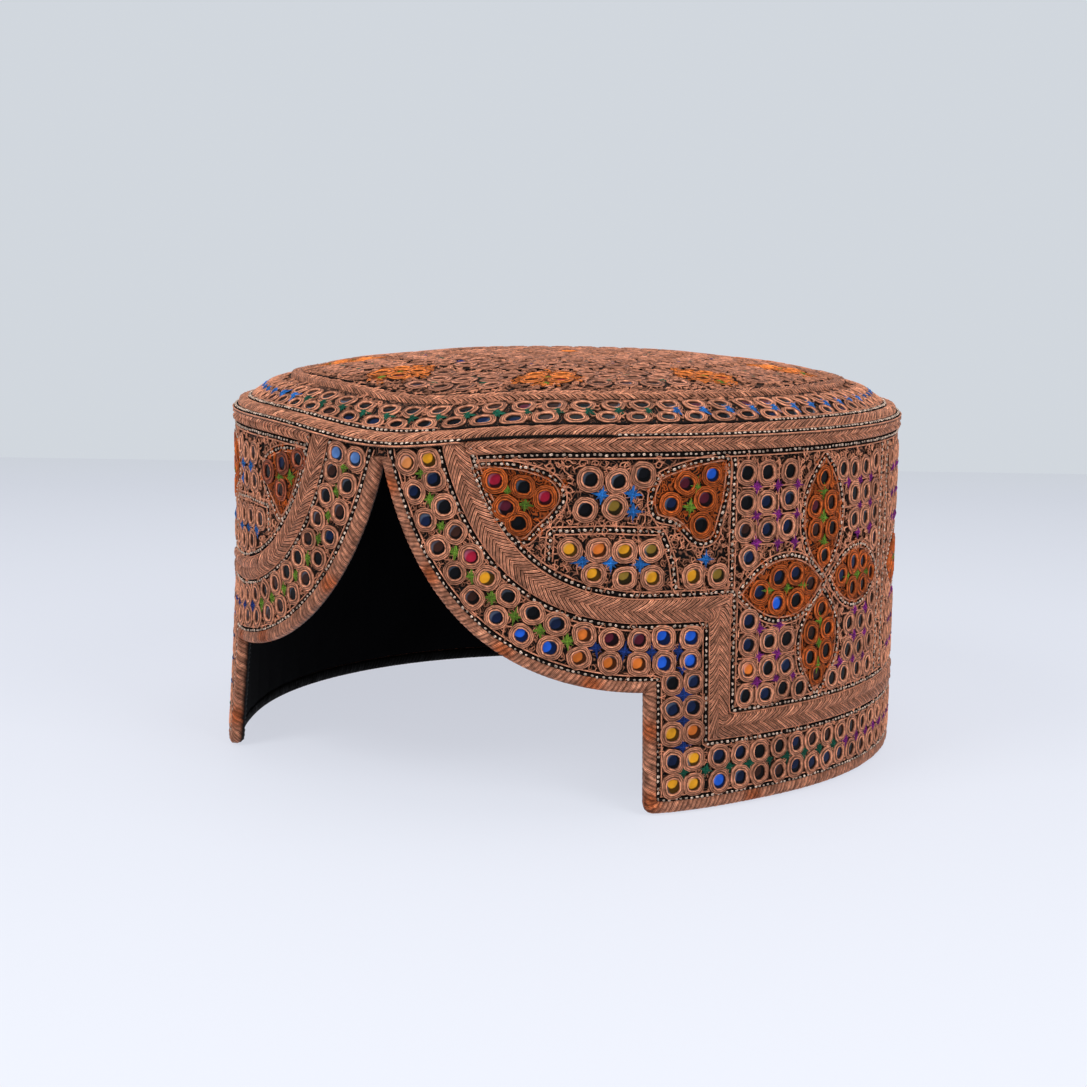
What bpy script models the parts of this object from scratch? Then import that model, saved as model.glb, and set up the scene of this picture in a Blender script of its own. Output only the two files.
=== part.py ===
"""Sindhi cap: a round mirror-work cap with a low domed crown and a front cut to an ogee arch.

The wall is described on its unrolled sheet. A place on it is (along, height): along is measured
round the outside from the front centre, towards +X, and height from the rim. Every piece is laid
on that sheet and then rolled up with wall_point. The front faces -Y, +Z is up, and the origin is
under the middle of the cap, level with the rim.
"""

import math
from collections import namedtuple

import bmesh
import bpy
import numpy as np

MM = 0.001

# Cloth shell
OUTER_RADIUS = 92.0 * MM
EMBROIDERY_RELIEF = 0.9 * MM
BAND_THICKNESS = 1.6 * MM
LINING_THICKNESS = 1.0 * MM
SEAM_GAP = 0.3 * MM
WALL_HEIGHT = 90.0 * MM
CROWN_RISE = 14.3 * MM
OVAL_GROWTH = 1.65 * MM
FRONT_DIP = 3.6 * MM
FRONT_DIP_ANGLE = math.radians(15.5)

# Front opening
OPENING_HALF_WIDTH = 64.7 * MM
STEP_HEIGHT = 29.0 * MM
APEX_HEIGHT = 82.5 * MM
FLAP_SPLAY = 3.1 * MM
FLAP_SPLAY_ANGLE = math.radians(14.0)
FLAP_SPLAY_HEIGHT = 41.0 * MM

# Rolled binding round the rim and the opening
BINDING_WIDTH = 3.5 * MM
BINDING_PROUD = 0.7 * MM
BINDING_INNER_PROUD = 0.3 * MM
BINDING_ROUNDING = 0.9 * MM
BINDING_CREST_SHARE = 0.3

# Braids laid on the cloth
BRAID_THICKNESS = 0.8 * MM
BORDER_BRAID_MARGIN = 0.6 * MM
BORDER_BRAID_WIDTH = 6.0 * MM
SHOULDER_BAND_WIDTH = 3.5 * MM
SHOULDER_SEAM_DROP = 0.8 * MM
SHOULDER_BRAID_LENGTH = 5.0 * MM
SHOULDER_BRAID_THICKNESS = 2.1 * MM
SHOULDER_BRAID_SLOPE = math.radians(32.0)
SHOULDER_BRAID_SETBACK = 1.53 * MM
SHOULDER_BRAID_RISE = 1.16 * MM
CROWN_EDGE_SETBACK = 4.14 * MM
CROWN_BRAID_RADIUS = 74.6 * MM
CROWN_BRAID_WIDTH = 5.5 * MM

# Mirrors sewn on the border of the opening
MIRROR_STRIP_INSET = 4.2 * MM
MIRROR_STRIP_THICKNESS = 0.5 * MM
MIRROR_RING_RADIUS = 2.75 * MM
MIRROR_RING_MARGIN = 0.15 * MM
MIRROR_RING_HEIGHT = 0.8 * MM
MIRROR_RING_TAPER = 0.7 * MM
MIRROR_DISH_DEPTH = 0.5 * MM
MIRROR_CELL = 2.0 * (MIRROR_RING_RADIUS + MIRROR_RING_MARGIN)
ARCH_MIRROR_PITCH = 6.6 * MM

# Fineness of the meshes
ARCH_STATIONS = 14
RIM_STATIONS = 20
BAND_ARCH_FAN = 0.85
BAND_FLAP_FAN = 1.2
BAND_BEND_REACH = 0.85
RING_STATIONS = 60
LINING_CROWN_STATIONS = 48
LINING_CROWN_ROWS = (0, 2, 4, 5, 6)
SHOULDER_BRAID_SIDES = 6
MIRROR_SIDES = 10
MERGE_DISTANCE = 0.001 * MM

# Handles of the arch, as shares of its half width (along) and of its rise (drop from the apex)
ArchHandle = namedtuple("ArchHandle", "along drop")
ARCH_HANDLES = (
    ArchHandle(along=0.0, drop=0.0),
    ArchHandle(along=0.136, drop=0.617),
    ArchHandle(along=0.448, drop=0.981),
    ArchHandle(along=1.0, drop=1.0),
)

# Crown profile from its edge to its centre, as shares of the edge radius and of the crown's rise
CrownRow = namedtuple("CrownRow", "radius rise")
CROWN_ROWS = (
    CrownRow(radius=1.0, rise=0.18),
    CrownRow(radius=0.942, rise=0.42),
    CrownRow(radius=0.86, rise=0.575),
    CrownRow(radius=0.775, rise=0.70),
    CrownRow(radius=0.712, rise=0.77),
    CrownRow(radius=0.42, rise=0.958),
    CrownRow(radius=0.0, rise=1.0),
)

HALF_TURN = math.pi * OUTER_RADIUS
STACK_DEPTH = BAND_THICKNESS + SEAM_GAP + LINING_THICKNESS
CROWN_EDGE_RADIUS = OUTER_RADIUS - CROWN_EDGE_SETBACK
CLOTH_INSET = BINDING_WIDTH + SEAM_GAP
BORDER_BRAID_INSET = MIRROR_STRIP_INSET + 2.0 * MIRROR_CELL + BORDER_BRAID_MARGIN


def clear_scene():
    """Remove every object of the start scene."""
    for item in list(bpy.data.objects):
        bpy.data.objects.remove(item, do_unlink=True)


def make_material(name, colour, roughness, metallic=0.0):
    """A Principled material with one colour."""
    material = bpy.data.materials.new(name)
    material.use_nodes = True
    shader = material.node_tree.nodes["Principled BSDF"]
    shader.inputs["Base Color"].default_value = (*colour, 1.0)
    shader.inputs["Roughness"].default_value = roughness
    shader.inputs["Metallic"].default_value = metallic
    return material


# Shape of the wall and the crown


def front_dip(phi):
    """How far the shoulder sinks over the arch, at the angle phi from the front."""
    turned = np.angle(np.exp(1j * np.asarray(phi, dtype=float)))
    return FRONT_DIP * np.exp(-((turned / FRONT_DIP_ANGLE) ** 2))


def shoulder_height(along):
    """Height of the shoulder line above a place on the wall."""
    return WALL_HEIGHT - front_dip(np.asarray(along) / OUTER_RADIUS)


def wall_radius(phi, height):
    """Radius of the cloth's outer face, which lies under the relief of the embroidery.

    It is slightly longer than wide, and sprung outwards at the two flap corners.
    """
    turned = np.angle(np.exp(1j * np.asarray(phi, dtype=float)))
    corner = OPENING_HALF_WIDTH / OUTER_RADIUS
    sideways = np.exp(-(((np.abs(turned) - corner) / FLAP_SPLAY_ANGLE) ** 2))
    lowness = np.clip(1.0 - height / FLAP_SPLAY_HEIGHT, 0.0, 1.0)
    cloth = OUTER_RADIUS - EMBROIDERY_RELIEF
    return cloth + OVAL_GROWTH * np.cos(2.0 * phi) + FLAP_SPLAY * sideways * lowness


def wall_point(along, height, outward=0.0):
    """Roll places on the sheet up into the wall, outward metres off its outer face."""
    along = np.asarray(along, dtype=float)
    height = np.asarray(height, dtype=float)
    phi = along / OUTER_RADIUS
    radius = wall_radius(phi, height) + outward
    return np.stack([radius * np.sin(phi), -radius * np.cos(phi), height + 0.0 * phi], axis=-1)


def crown_profile(depth=0.0):
    """Radii and rises of the crown's rows, moved depth metres in under its outer face."""
    radius = np.array([row.radius for row in CROWN_ROWS]) * CROWN_EDGE_RADIUS
    rise = np.array([row.rise for row in CROWN_ROWS]) * CROWN_RISE
    step = np.stack([np.diff(radius), np.diff(rise)], axis=1)
    step /= np.linalg.norm(step, axis=1, keepdims=True)
    normal = np.stack([step[:, 1], -step[:, 0]], axis=1)
    before = np.vstack([normal[:1], normal])
    after = np.vstack([normal, [[0.0, 1.0]]])
    mean = before + after
    mean *= 2.0 / np.sum(mean * mean, axis=1, keepdims=True)
    return radius - depth * mean[:, 0] * (radius > 0.0), rise - depth * mean[:, 1]


def crown_point(phi, radius, rise):
    """A point of the crown: it takes the wall's oval and sinks with the shoulder at the front."""
    share = np.asarray(radius) / OUTER_RADIUS
    reach = share * wall_radius(phi, WALL_HEIGHT)
    height = WALL_HEIGHT + rise - front_dip(phi) * share**2
    return np.stack([reach * np.sin(phi), -reach * np.cos(phi), height], axis=-1)


# Lines that follow the opening and the rim


def arch_curve():
    """Points and cloth-side normals of the arch's edge, from its apex to the top of the step."""
    t = np.linspace(0.0, 1.0, ARCH_STATIONS)[:, None]
    rise = APEX_HEIGHT - STEP_HEIGHT
    handles = [
        np.array([handle.along * OPENING_HALF_WIDTH, APEX_HEIGHT - handle.drop * rise])
        for handle in ARCH_HANDLES
    ]
    first, second, third, last = handles
    point = (1 - t) ** 3 * first + 3 * (1 - t) ** 2 * t * second
    point = point + 3 * (1 - t) * t**2 * third + t**3 * last
    tangent = (1 - t) ** 2 * (second - first) + 2 * (1 - t) * t * (third - second)
    tangent = tangent + t**2 * (last - third)
    tangent /= np.linalg.norm(tangent, axis=1, keepdims=True)
    return point, np.stack([-tangent[:, 1], tangent[:, 0]], axis=1)


def edge_line(inset, drop=None):
    """Half of a line that keeps inset metres from the edge, from the top to the back centre.

    With a drop, the line starts that far under the shoulder. Without one it starts at the front
    centre, on the short flat crest over the apex.
    """
    point, normal = arch_curve()
    line = point + inset * normal
    climb = np.array([-normal[0, 1], normal[0, 0]])
    if drop is None:
        crest = APEX_HEIGHT + BINDING_CREST_SHARE * inset
        line[0] = line[0] + climb * (crest - line[0, 1]) / climb[1]
        line = np.vstack([[0.0, crest], line])
    else:
        for _ in range(3):
            lift = shoulder_height(line[0, 0]) - drop - line[0, 1]
            line[0] = line[0] + climb * lift / climb[1]
    flap = OPENING_HALF_WIDTH + inset
    step = [
        [(OPENING_HALF_WIDTH + flap) / 2.0, STEP_HEIGHT + inset],
        [flap, STEP_HEIGHT + inset],
        [flap, (STEP_HEIGHT + 2.0 * inset) / 2.0],
        [flap, inset],
    ]
    rim = np.linspace(flap, HALF_TURN, RIM_STATIONS + 1)[1:]
    return np.vstack([line, step, np.stack([rim, np.full_like(rim, inset)], axis=1)])


def mirrored_loop(points):
    """Close a half line over the front and back centres: right half, then the left one back."""
    left = points[-2:0:-1].copy()
    left[..., 0] *= -1.0
    return np.concatenate([points, left])


def mirrored_run(points):
    """Open line: down the left side, round the back and up the right side."""
    left = points[:-1].copy()
    left[..., 0] *= -1.0
    return np.concatenate([left, points[::-1]])


# Mesh builders


def grid_faces(stations, rows, close_stations=False, close_rows=False):
    """Quads of a grid whose points are stored row after row within each station."""
    faces = []
    for i in range(stations if close_stations else stations - 1):
        for j in range(rows if close_rows else rows - 1):
            this, following = i * rows, (i + 1) % stations * rows
            up = (j + 1) % rows
            faces.append((this + j, following + j, following + up, this + up))
    return faces


def add_object(name, points, faces, material):
    """Make a closed or open surface with faces pointing out, in the cap's collection."""
    mesh = bpy.data.meshes.new(name)
    mesh.from_pydata(np.asarray(points).reshape(-1, 3).tolist(), [], faces)
    work = bmesh.new()
    work.from_mesh(mesh)
    bmesh.ops.remove_doubles(work, verts=work.verts, dist=MERGE_DISTANCE)
    work.to_mesh(mesh)
    work.free()
    mesh.materials.append(material)
    mesh.shade_smooth()
    mesh.set_sharp_from_angle(angle=math.radians(35.0))
    item = bpy.data.objects.new(name, mesh)
    CAP.objects.link(item)
    return item


def thicken(item, thickness):
    """Give an open surface its wall, on the side its faces turn away from."""
    wall = item.modifiers.new("wall", "SOLIDIFY")
    wall.thickness = thickness
    wall.offset = -1.0
    return item


def wall_sheet(inset, drop, outward):
    """Grid of the wall: columns fan up from the cut edge to the shoulder, so none is squeezed.

    Each column bends once, at the height where the sprung flap corners come back to round.
    """
    edge = edge_line(inset)
    corner = len(edge) - RIM_STATIONS - 1
    arch = corner - 2
    flap = edge[corner, 0]
    top = edge[:, 0].copy()
    inner, outer = BAND_ARCH_FAN * flap, BAND_FLAP_FAN * flap
    top[: arch + 1] *= BAND_ARCH_FAN
    top[arch : corner + 1] = np.linspace(inner, outer, corner - arch + 1)
    top[corner:] = np.linspace(outer, HALF_TURN, RIM_STATIONS + 1)
    head = np.stack([top, shoulder_height(top) - drop], axis=1)
    bend = (FLAP_SPLAY_HEIGHT - edge[:, 1]) / (head[:, 1] - edge[:, 1])
    bend = np.where(edge[:, 1] < BAND_BEND_REACH * FLAP_SPLAY_HEIGHT, bend, 0.5)
    share = np.stack([0.0 * bend, bend, 0.0 * bend + 1.0], axis=1)[..., None]
    sheet = mirrored_loop(edge[:, None, :] * (1.0 - share) + head[:, None, :] * share)
    return wall_point(sheet[..., 0], sheet[..., 1], outward)


def build_band(name, outward, thickness, material):
    """One layer of the wall."""
    sheet = wall_sheet(CLOTH_INSET, SHOULDER_SEAM_DROP, outward)
    faces = grid_faces(len(sheet), sheet.shape[1], close_stations=True)
    return thicken(add_object(name, sheet, faces, material), thickness)


def build_ribbon(name, near, far, outward, thickness, material, closed=False):
    """A flat braid between two lines of the sheet, near and far, each an array of places."""
    sheet = np.stack([near, far], axis=1)
    points = wall_point(sheet[..., 0], sheet[..., 1], outward)
    faces = grid_faces(len(points), 2, close_stations=closed)
    return thicken(add_object(name, points, faces, material), thickness)


def build_disc(name, radius, rise, stations, thickness, material):
    """A domed disc from a profile of radii and rises that ends on the axis."""
    phi = np.linspace(0.0, 2.0 * math.pi, stations, endpoint=False)[:, None]
    rows = len(radius) - 1
    rings = crown_point(phi, radius[None, :-1], rise[None, :-1])
    centre = crown_point(0.0, radius[-1], rise[-1])
    points = np.vstack([rings.reshape(-1, 3), centre[None, :]])
    faces = grid_faces(stations, rows, close_stations=True)
    hub = stations * rows
    for i in range(stations):
        faces.append((i * rows + rows - 1, (i + 1) % stations * rows + rows - 1, hub))
    return thicken(add_object(name, points, faces, material), thickness)


# Pieces


def build_binding(material):
    """Rolled binding: a section with rounded corners and a flat foot, carried round the edge."""
    inner = -STACK_DEPTH - BINDING_INNER_PROUD
    soft = BINDING_ROUNDING
    section = [
        (0.0, BINDING_PROUD - soft),
        (0.0, inner + soft),
        (soft, inner),
        (BINDING_WIDTH - soft, inner),
        (BINDING_WIDTH, inner + soft),
        (BINDING_WIDTH, BINDING_PROUD - soft),
        (BINDING_WIDTH - soft, BINDING_PROUD),
        (soft, BINDING_PROUD),
    ]
    lines = []
    for inset, outward in section:
        loop = mirrored_loop(edge_line(inset))
        lines.append(wall_point(loop[:, 0], loop[:, 1], outward))
    points = np.stack(lines, axis=1)
    faces = grid_faces(len(points), len(section), close_stations=True, close_rows=True)
    add_object("edge_binding", points, [face[::-1] for face in faces], material)


def build_border_braid(material):
    """Plaited braid that follows the opening and the rim outside the mirrors."""
    near = mirrored_run(edge_line(BORDER_BRAID_INSET, SHOULDER_SEAM_DROP))
    far = mirrored_run(edge_line(BORDER_BRAID_INSET + BORDER_BRAID_WIDTH, SHOULDER_SEAM_DROP))
    lift = SEAM_GAP + BRAID_THICKNESS
    build_ribbon("border_braid", far, near, lift, BRAID_THICKNESS, material)


def build_shoulder_band(material):
    """Plaited braid under the shoulder, which runs round the back from one arch to the other."""
    beside = BORDER_BRAID_INSET + BORDER_BRAID_WIDTH + SEAM_GAP
    upper_drop = SHOULDER_SEAM_DROP
    lower_drop = SHOULDER_SEAM_DROP + SHOULDER_BAND_WIDTH
    starts = [edge_line(beside, drop)[0, 0] for drop in (lower_drop, upper_drop)]
    lines = []
    for start, drop in zip(starts, (lower_drop, upper_drop)):
        along = np.linspace(start, 2.0 * HALF_TURN - start, RING_STATIONS)
        lines.append(np.stack([along, shoulder_height(along) - drop], axis=1))
    lift = SEAM_GAP + BRAID_THICKNESS
    build_ribbon("shoulder_chevron_braid", lines[0], lines[1], lift, BRAID_THICKNESS, material)


def build_shoulder_braid(material):
    """Thick rounded braid over the seam of wall and crown: an oval section, tilted with it."""
    phi = np.linspace(0.0, 2.0 * math.pi, RING_STATIONS, endpoint=False)[:, None]
    turn = np.linspace(0.0, 2.0 * math.pi, SHOULDER_BRAID_SIDES, endpoint=False)[None, :]
    length = 0.5 * SHOULDER_BRAID_LENGTH * np.cos(turn)
    height = 0.5 * SHOULDER_BRAID_THICKNESS * np.sin(turn)
    out = length * math.cos(SHOULDER_BRAID_SLOPE) + height * math.sin(SHOULDER_BRAID_SLOPE)
    rise = height * math.cos(SHOULDER_BRAID_SLOPE) - length * math.sin(SHOULDER_BRAID_SLOPE)
    middle = OUTER_RADIUS - SHOULDER_BRAID_SETBACK
    points = crown_point(phi, middle + out, SHOULDER_BRAID_RISE + rise)
    faces = grid_faces(RING_STATIONS, turn.size, close_stations=True, close_rows=True)
    add_object("shoulder_braid", points, faces, material)


def build_crown_braid(material):
    """Satin braid ring on the crown."""
    radius, rise = crown_profile(-SEAM_GAP - BRAID_THICKNESS)
    ring = np.array([CROWN_BRAID_RADIUS + 0.5 * CROWN_BRAID_WIDTH * side for side in (1, -1)])
    height = np.interp(ring, radius[::-1], rise[::-1])
    phi = np.linspace(0.0, 2.0 * math.pi, RING_STATIONS, endpoint=False)[:, None]
    points = crown_point(phi, ring[None, :], height[None, :])
    faces = grid_faces(RING_STATIONS, 2, close_stations=True)
    thicken(add_object("crown_braid", points, faces, material), BRAID_THICKNESS)


def build_lining_crown(material):
    """Lining of the crown, with a lip that turns down to meet the wall's lining."""
    radius, rise = crown_profile(BAND_THICKNESS + SEAM_GAP)
    lip = OUTER_RADIUS - STACK_DEPTH - SEAM_GAP
    kept = list(LINING_CROWN_ROWS)
    radius = np.concatenate([[lip], radius[kept]])
    rise = np.concatenate([[0.0], rise[kept]])
    build_disc("lining_crown", radius, rise, LINING_CROWN_STATIONS, LINING_THICKNESS, material)


def spaced(line, count):
    """The line with count equal stretches."""
    length = np.concatenate([[0.0], np.cumsum(np.linalg.norm(np.diff(line, axis=0), axis=1))])
    stops = np.linspace(0.0, length[-1], count + 1)
    return np.stack([np.interp(stops, length, line[:, axis]) for axis in (0, 1)], axis=1)


def grid_cells(grid):
    """Corner places of each cell of a grid of places."""
    rows, columns = grid.shape[:2]
    return [
        [grid[i, j], grid[i + 1, j], grid[i + 1, j + 1], grid[i, j + 1]]
        for i in range(rows - 1)
        for j in range(columns - 1)
    ]


def mirror_cells():
    """Cells of the mirror border: down the arch, round the corner of the step, down the flap."""
    insets = MIRROR_STRIP_INSET + MIRROR_CELL * np.arange(3)
    flap = OPENING_HALF_WIDTH + insets
    shelf = STEP_HEIGHT + insets
    lines = []
    for inset in insets:
        line = edge_line(inset, SHOULDER_SEAM_DROP)[:ARCH_STATIONS]
        lines.append(np.vstack([line, [flap[0], STEP_HEIGHT + inset]]))
    reach = np.sum(np.linalg.norm(np.diff(lines[1], axis=0), axis=1))
    arch = np.stack([spaced(line, int(reach / ARCH_MIRROR_PITCH)) for line in lines], axis=1)
    corner = np.stack(np.meshgrid(flap, shelf), axis=-1)
    steps = max(1, int((shelf[0] - insets[2]) / MIRROR_CELL))
    heights = np.concatenate([np.linspace(shelf[0], insets[2], steps + 1), insets[1::-1]])
    down = np.stack(np.meshgrid(flap, heights), axis=-1)
    return grid_cells(arch) + grid_cells(corner) + grid_cells(down)


def add_mirror(work, cell, corner_at):
    """One cell with its mirror: ground cloth, a raised ring and a face dished to the middle."""
    ground = SEAM_GAP + MIRROR_STRIP_THICKNESS
    centre = np.mean(cell, axis=0)
    turn = np.linspace(0.0, 2.0 * math.pi, MIRROR_SIDES, endpoint=False)
    spokes = np.stack([np.cos(turn), np.sin(turn)], axis=1)
    corners = sorted(cell, key=lambda place: math.atan2(place[1] - centre[1], place[0] - centre[0]))
    outer = [corner_at(place, ground) for place in corners]
    rings = []
    for radius, outward in (
        (MIRROR_RING_RADIUS, ground),
        (MIRROR_RING_RADIUS - MIRROR_RING_TAPER, ground + MIRROR_RING_HEIGHT),
    ):
        rings.append([corner_at(centre + radius * spoke, outward) for spoke in spokes])
    hub = corner_at(centre, ground + MIRROR_RING_HEIGHT - MIRROR_DISH_DEPTH)
    bearing = [math.atan2(place[1] - centre[1], place[0] - centre[0]) for place in corners]
    nearest = []
    for i in range(MIRROR_SIDES):
        middle = turn[i] + math.pi / MIRROR_SIDES
        nearest.append(int(np.argmax([math.cos(middle - angle) for angle in bearing])))
    for i in range(MIRROR_SIDES):
        j = (i + 1) % MIRROR_SIDES
        work.faces.new((rings[0][i], rings[0][j], outer[nearest[i]]))
        if nearest[i] != nearest[j]:
            work.faces.new((rings[0][j], outer[nearest[j]], outer[nearest[i]]))
        work.faces.new((rings[0][i], rings[0][j], rings[1][j], rings[1][i]))
        work.faces.new((rings[1][i], rings[1][j], hub))


def build_mirror_border(name, side, material):
    """Strip with two rows of mirrors beside one half of the opening, as one closed piece."""
    work = bmesh.new()
    known = {}

    def corner_at(place, outward):
        """The corner at a place of the sheet, made once and shared by the faces round it."""
        key = (round(place[0] / MERGE_DISTANCE), round(place[1] / MERGE_DISTANCE), outward)
        if key not in known:
            known[key] = work.verts.new(wall_point(side * place[0], place[1], outward))
        return known[key]

    edges = {}
    for cell in mirror_cells():
        add_mirror(work, cell, corner_at)
        base = [corner_at(place, SEAM_GAP) for place in cell]
        cover = [corner_at(place, SEAM_GAP + MIRROR_STRIP_THICKNESS) for place in cell]
        work.faces.new(base)
        for i in range(4):
            j = (i + 1) % 4
            key = frozenset((base[i], base[j]))
            edges[key] = None if key in edges else (base[i], base[j], cover[j], cover[i])
    for edge in edges.values():
        if edge is not None:
            work.faces.new(edge)
    bmesh.ops.recalc_face_normals(work, faces=work.faces)
    mesh = bpy.data.meshes.new(name)
    work.to_mesh(mesh)
    work.free()
    mesh.materials.append(material)
    CAP.objects.link(bpy.data.objects.new(name, mesh))


clear_scene()
CAP = bpy.data.collections.new("sindhi_cap")
bpy.context.scene.collection.children.link(CAP)

COPPER = make_material("copper_embroidery", (0.42, 0.19, 0.12), 0.5)
BRAID = make_material("copper_braid", (0.48, 0.22, 0.14), 0.45)
VELVET = make_material("black_velvet", (0.008, 0.008, 0.010), 0.9)
MIRROR = make_material("mirror_work", (0.30, 0.14, 0.10), 0.3, 0.3)

build_band("side_band", 0.0, BAND_THICKNESS, COPPER)
build_band("lining_band", -BAND_THICKNESS - SEAM_GAP, LINING_THICKNESS, VELVET)
build_disc("crown_top", *crown_profile(), RING_STATIONS, BAND_THICKNESS, COPPER)
build_lining_crown(VELVET)
build_binding(BRAID)
build_border_braid(BRAID)
build_shoulder_band(BRAID)
build_shoulder_braid(BRAID)
build_crown_braid(BRAID)
build_mirror_border("mirror_border_right", 1.0, MIRROR)
build_mirror_border("mirror_border_left", -1.0, MIRROR)
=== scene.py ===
"""Sindhi cap: thread braids, mirrors in thread rings, couched outlines and a velvet lining.

A place on the wall is (along, height) on its unrolled sheet: along runs round the outside from
the front centre towards +X, and height is above the rim. A place on the crown is (x, y) seen from
above. Each sheet's point method carries places, and how far they stand off the cloth, into space.
The front faces -Y, +Z is up, and the origin is under the middle of the cap, level with the rim.
"""

from __future__ import annotations

import logging
import math
from dataclasses import dataclass, field
from enum import Enum
from typing import Protocol

import bpy
import numpy as np
from mathutils import Matrix, Vector
from mathutils.kdtree import KDTree


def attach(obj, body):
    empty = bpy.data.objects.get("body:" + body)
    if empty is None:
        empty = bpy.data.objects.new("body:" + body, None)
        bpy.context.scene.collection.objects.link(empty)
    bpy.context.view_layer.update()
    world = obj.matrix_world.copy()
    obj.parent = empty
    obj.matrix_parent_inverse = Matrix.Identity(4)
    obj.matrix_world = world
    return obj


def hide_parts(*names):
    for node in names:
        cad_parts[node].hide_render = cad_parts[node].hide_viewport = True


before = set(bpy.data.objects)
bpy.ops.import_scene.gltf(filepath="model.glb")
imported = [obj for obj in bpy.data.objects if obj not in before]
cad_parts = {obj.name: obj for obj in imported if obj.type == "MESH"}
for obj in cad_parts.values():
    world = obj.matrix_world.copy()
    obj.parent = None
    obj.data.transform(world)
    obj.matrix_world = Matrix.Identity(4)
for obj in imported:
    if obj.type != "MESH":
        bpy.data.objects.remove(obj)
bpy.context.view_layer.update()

MM = 0.001
SEED = 41
BODY = "root"
IMAGE_SIZE = 1087.0
LOG = logging.getLogger("sindhi_cap")

Array = np.ndarray
Rng = np.random.Generator
Socket = bpy.types.NodeSocket
Node = bpy.types.Node
NodeTree = bpy.types.NodeTree
Material = bpy.types.Material
Range = tuple[float, float]
Pairs = tuple[Range, ...]


class Slot(Enum):
    """Material slots of the part's record."""

    CLOTH = "embroidered_cloth"
    BRAID = "copper_braid"
    MIRROR = "mirror_work"


class Tint(Enum):
    """Colours of the threads and of the mirrors, as screen values."""

    COPPER = (205, 137, 106)
    BRONZE = (180, 120, 94)
    ORANGE = (192, 92, 38)
    RUST = (160, 84, 58)
    SAFFRON = (216, 118, 54)
    PALE = (238, 210, 188)
    SOOT = (14, 10, 9)
    LEAF = (108, 142, 44)
    PINE = (20, 92, 70)
    SKY = (40, 116, 196)
    NIGHT = (26, 58, 132)
    PLUM = (140, 40, 132)
    INK = (8, 9, 13)
    NAVY = (14, 26, 54)
    BLUE = (28, 82, 186)
    AMBER = (206, 142, 30)
    TANGERINE = (196, 104, 40)
    CRIMSON = (138, 20, 44)
    MAROON = (72, 20, 34)
    UMBER = (48, 26, 20)
    OLIVE = (120, 96, 36)
    PEACH = (192, 120, 66)
    FROST = (80, 116, 172)

    @property
    def light(self) -> Array:
        """The colour as linear light."""
        value = np.array(self.value) / 255.0
        return np.where(value > 0.04045, ((value + 0.055) / 1.055) ** 2.4, value / 12.92)


MIRROR_LETTERS = {
    "K": Tint.INK,
    "N": Tint.NAVY,
    "B": Tint.BLUE,
    "A": Tint.AMBER,
    "T": Tint.TANGERINE,
    "C": Tint.CRIMSON,
    "M": Tint.MAROON,
    "U": Tint.UMBER,
    "O": Tint.OLIVE,
    "P": Tint.PEACH,
    "S": Tint.FROST,
}


def mirror_tints(letters: str) -> Array:
    """Linear colours of a row of mirrors, one letter each."""
    return np.array([MIRROR_LETTERS[letter].light for letter in letters])


def random_tints(letters: str, count: int, rng: Rng) -> Array:
    """Linear colours of mirrors, each of a letter drawn from those given."""
    return mirror_tints("".join(rng.choice(list(letters), count)))


# Shape of the cap


def pair(first: Array, second: Array) -> Array:
    """Two coordinates of each place, side by side."""
    return np.stack([first, second], axis=-1)


def polar(radius: Array | float, turn: Array) -> Array:
    """Places at a distance and an angle from the origin."""
    return pair(radius * np.cos(turn), radius * np.sin(turn))


def level(along: Array, height: float) -> Array:
    """Places along a line at one height."""
    return pair(along, np.full_like(along, height))


class Sheet(Protocol):
    """A surface of the cap that flat work is laid on."""

    def point(self, places: Array, outward: Array | float = 0.0) -> Array:
        """Points in space of places on the sheet.

        Args:
            places: array of places, of any shape that ends in 2.
            outward: distance off the sheet.

        Returns:
            Points in metres, of the same shape but ending in 3.
        """


def rolled(phi: Array, radius: Array, height: Array) -> Array:
    """Points in space from their angle from the front, distance from the axis and height."""
    return np.stack([radius * np.sin(phi), -radius * np.cos(phi), height], axis=-1)


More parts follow.
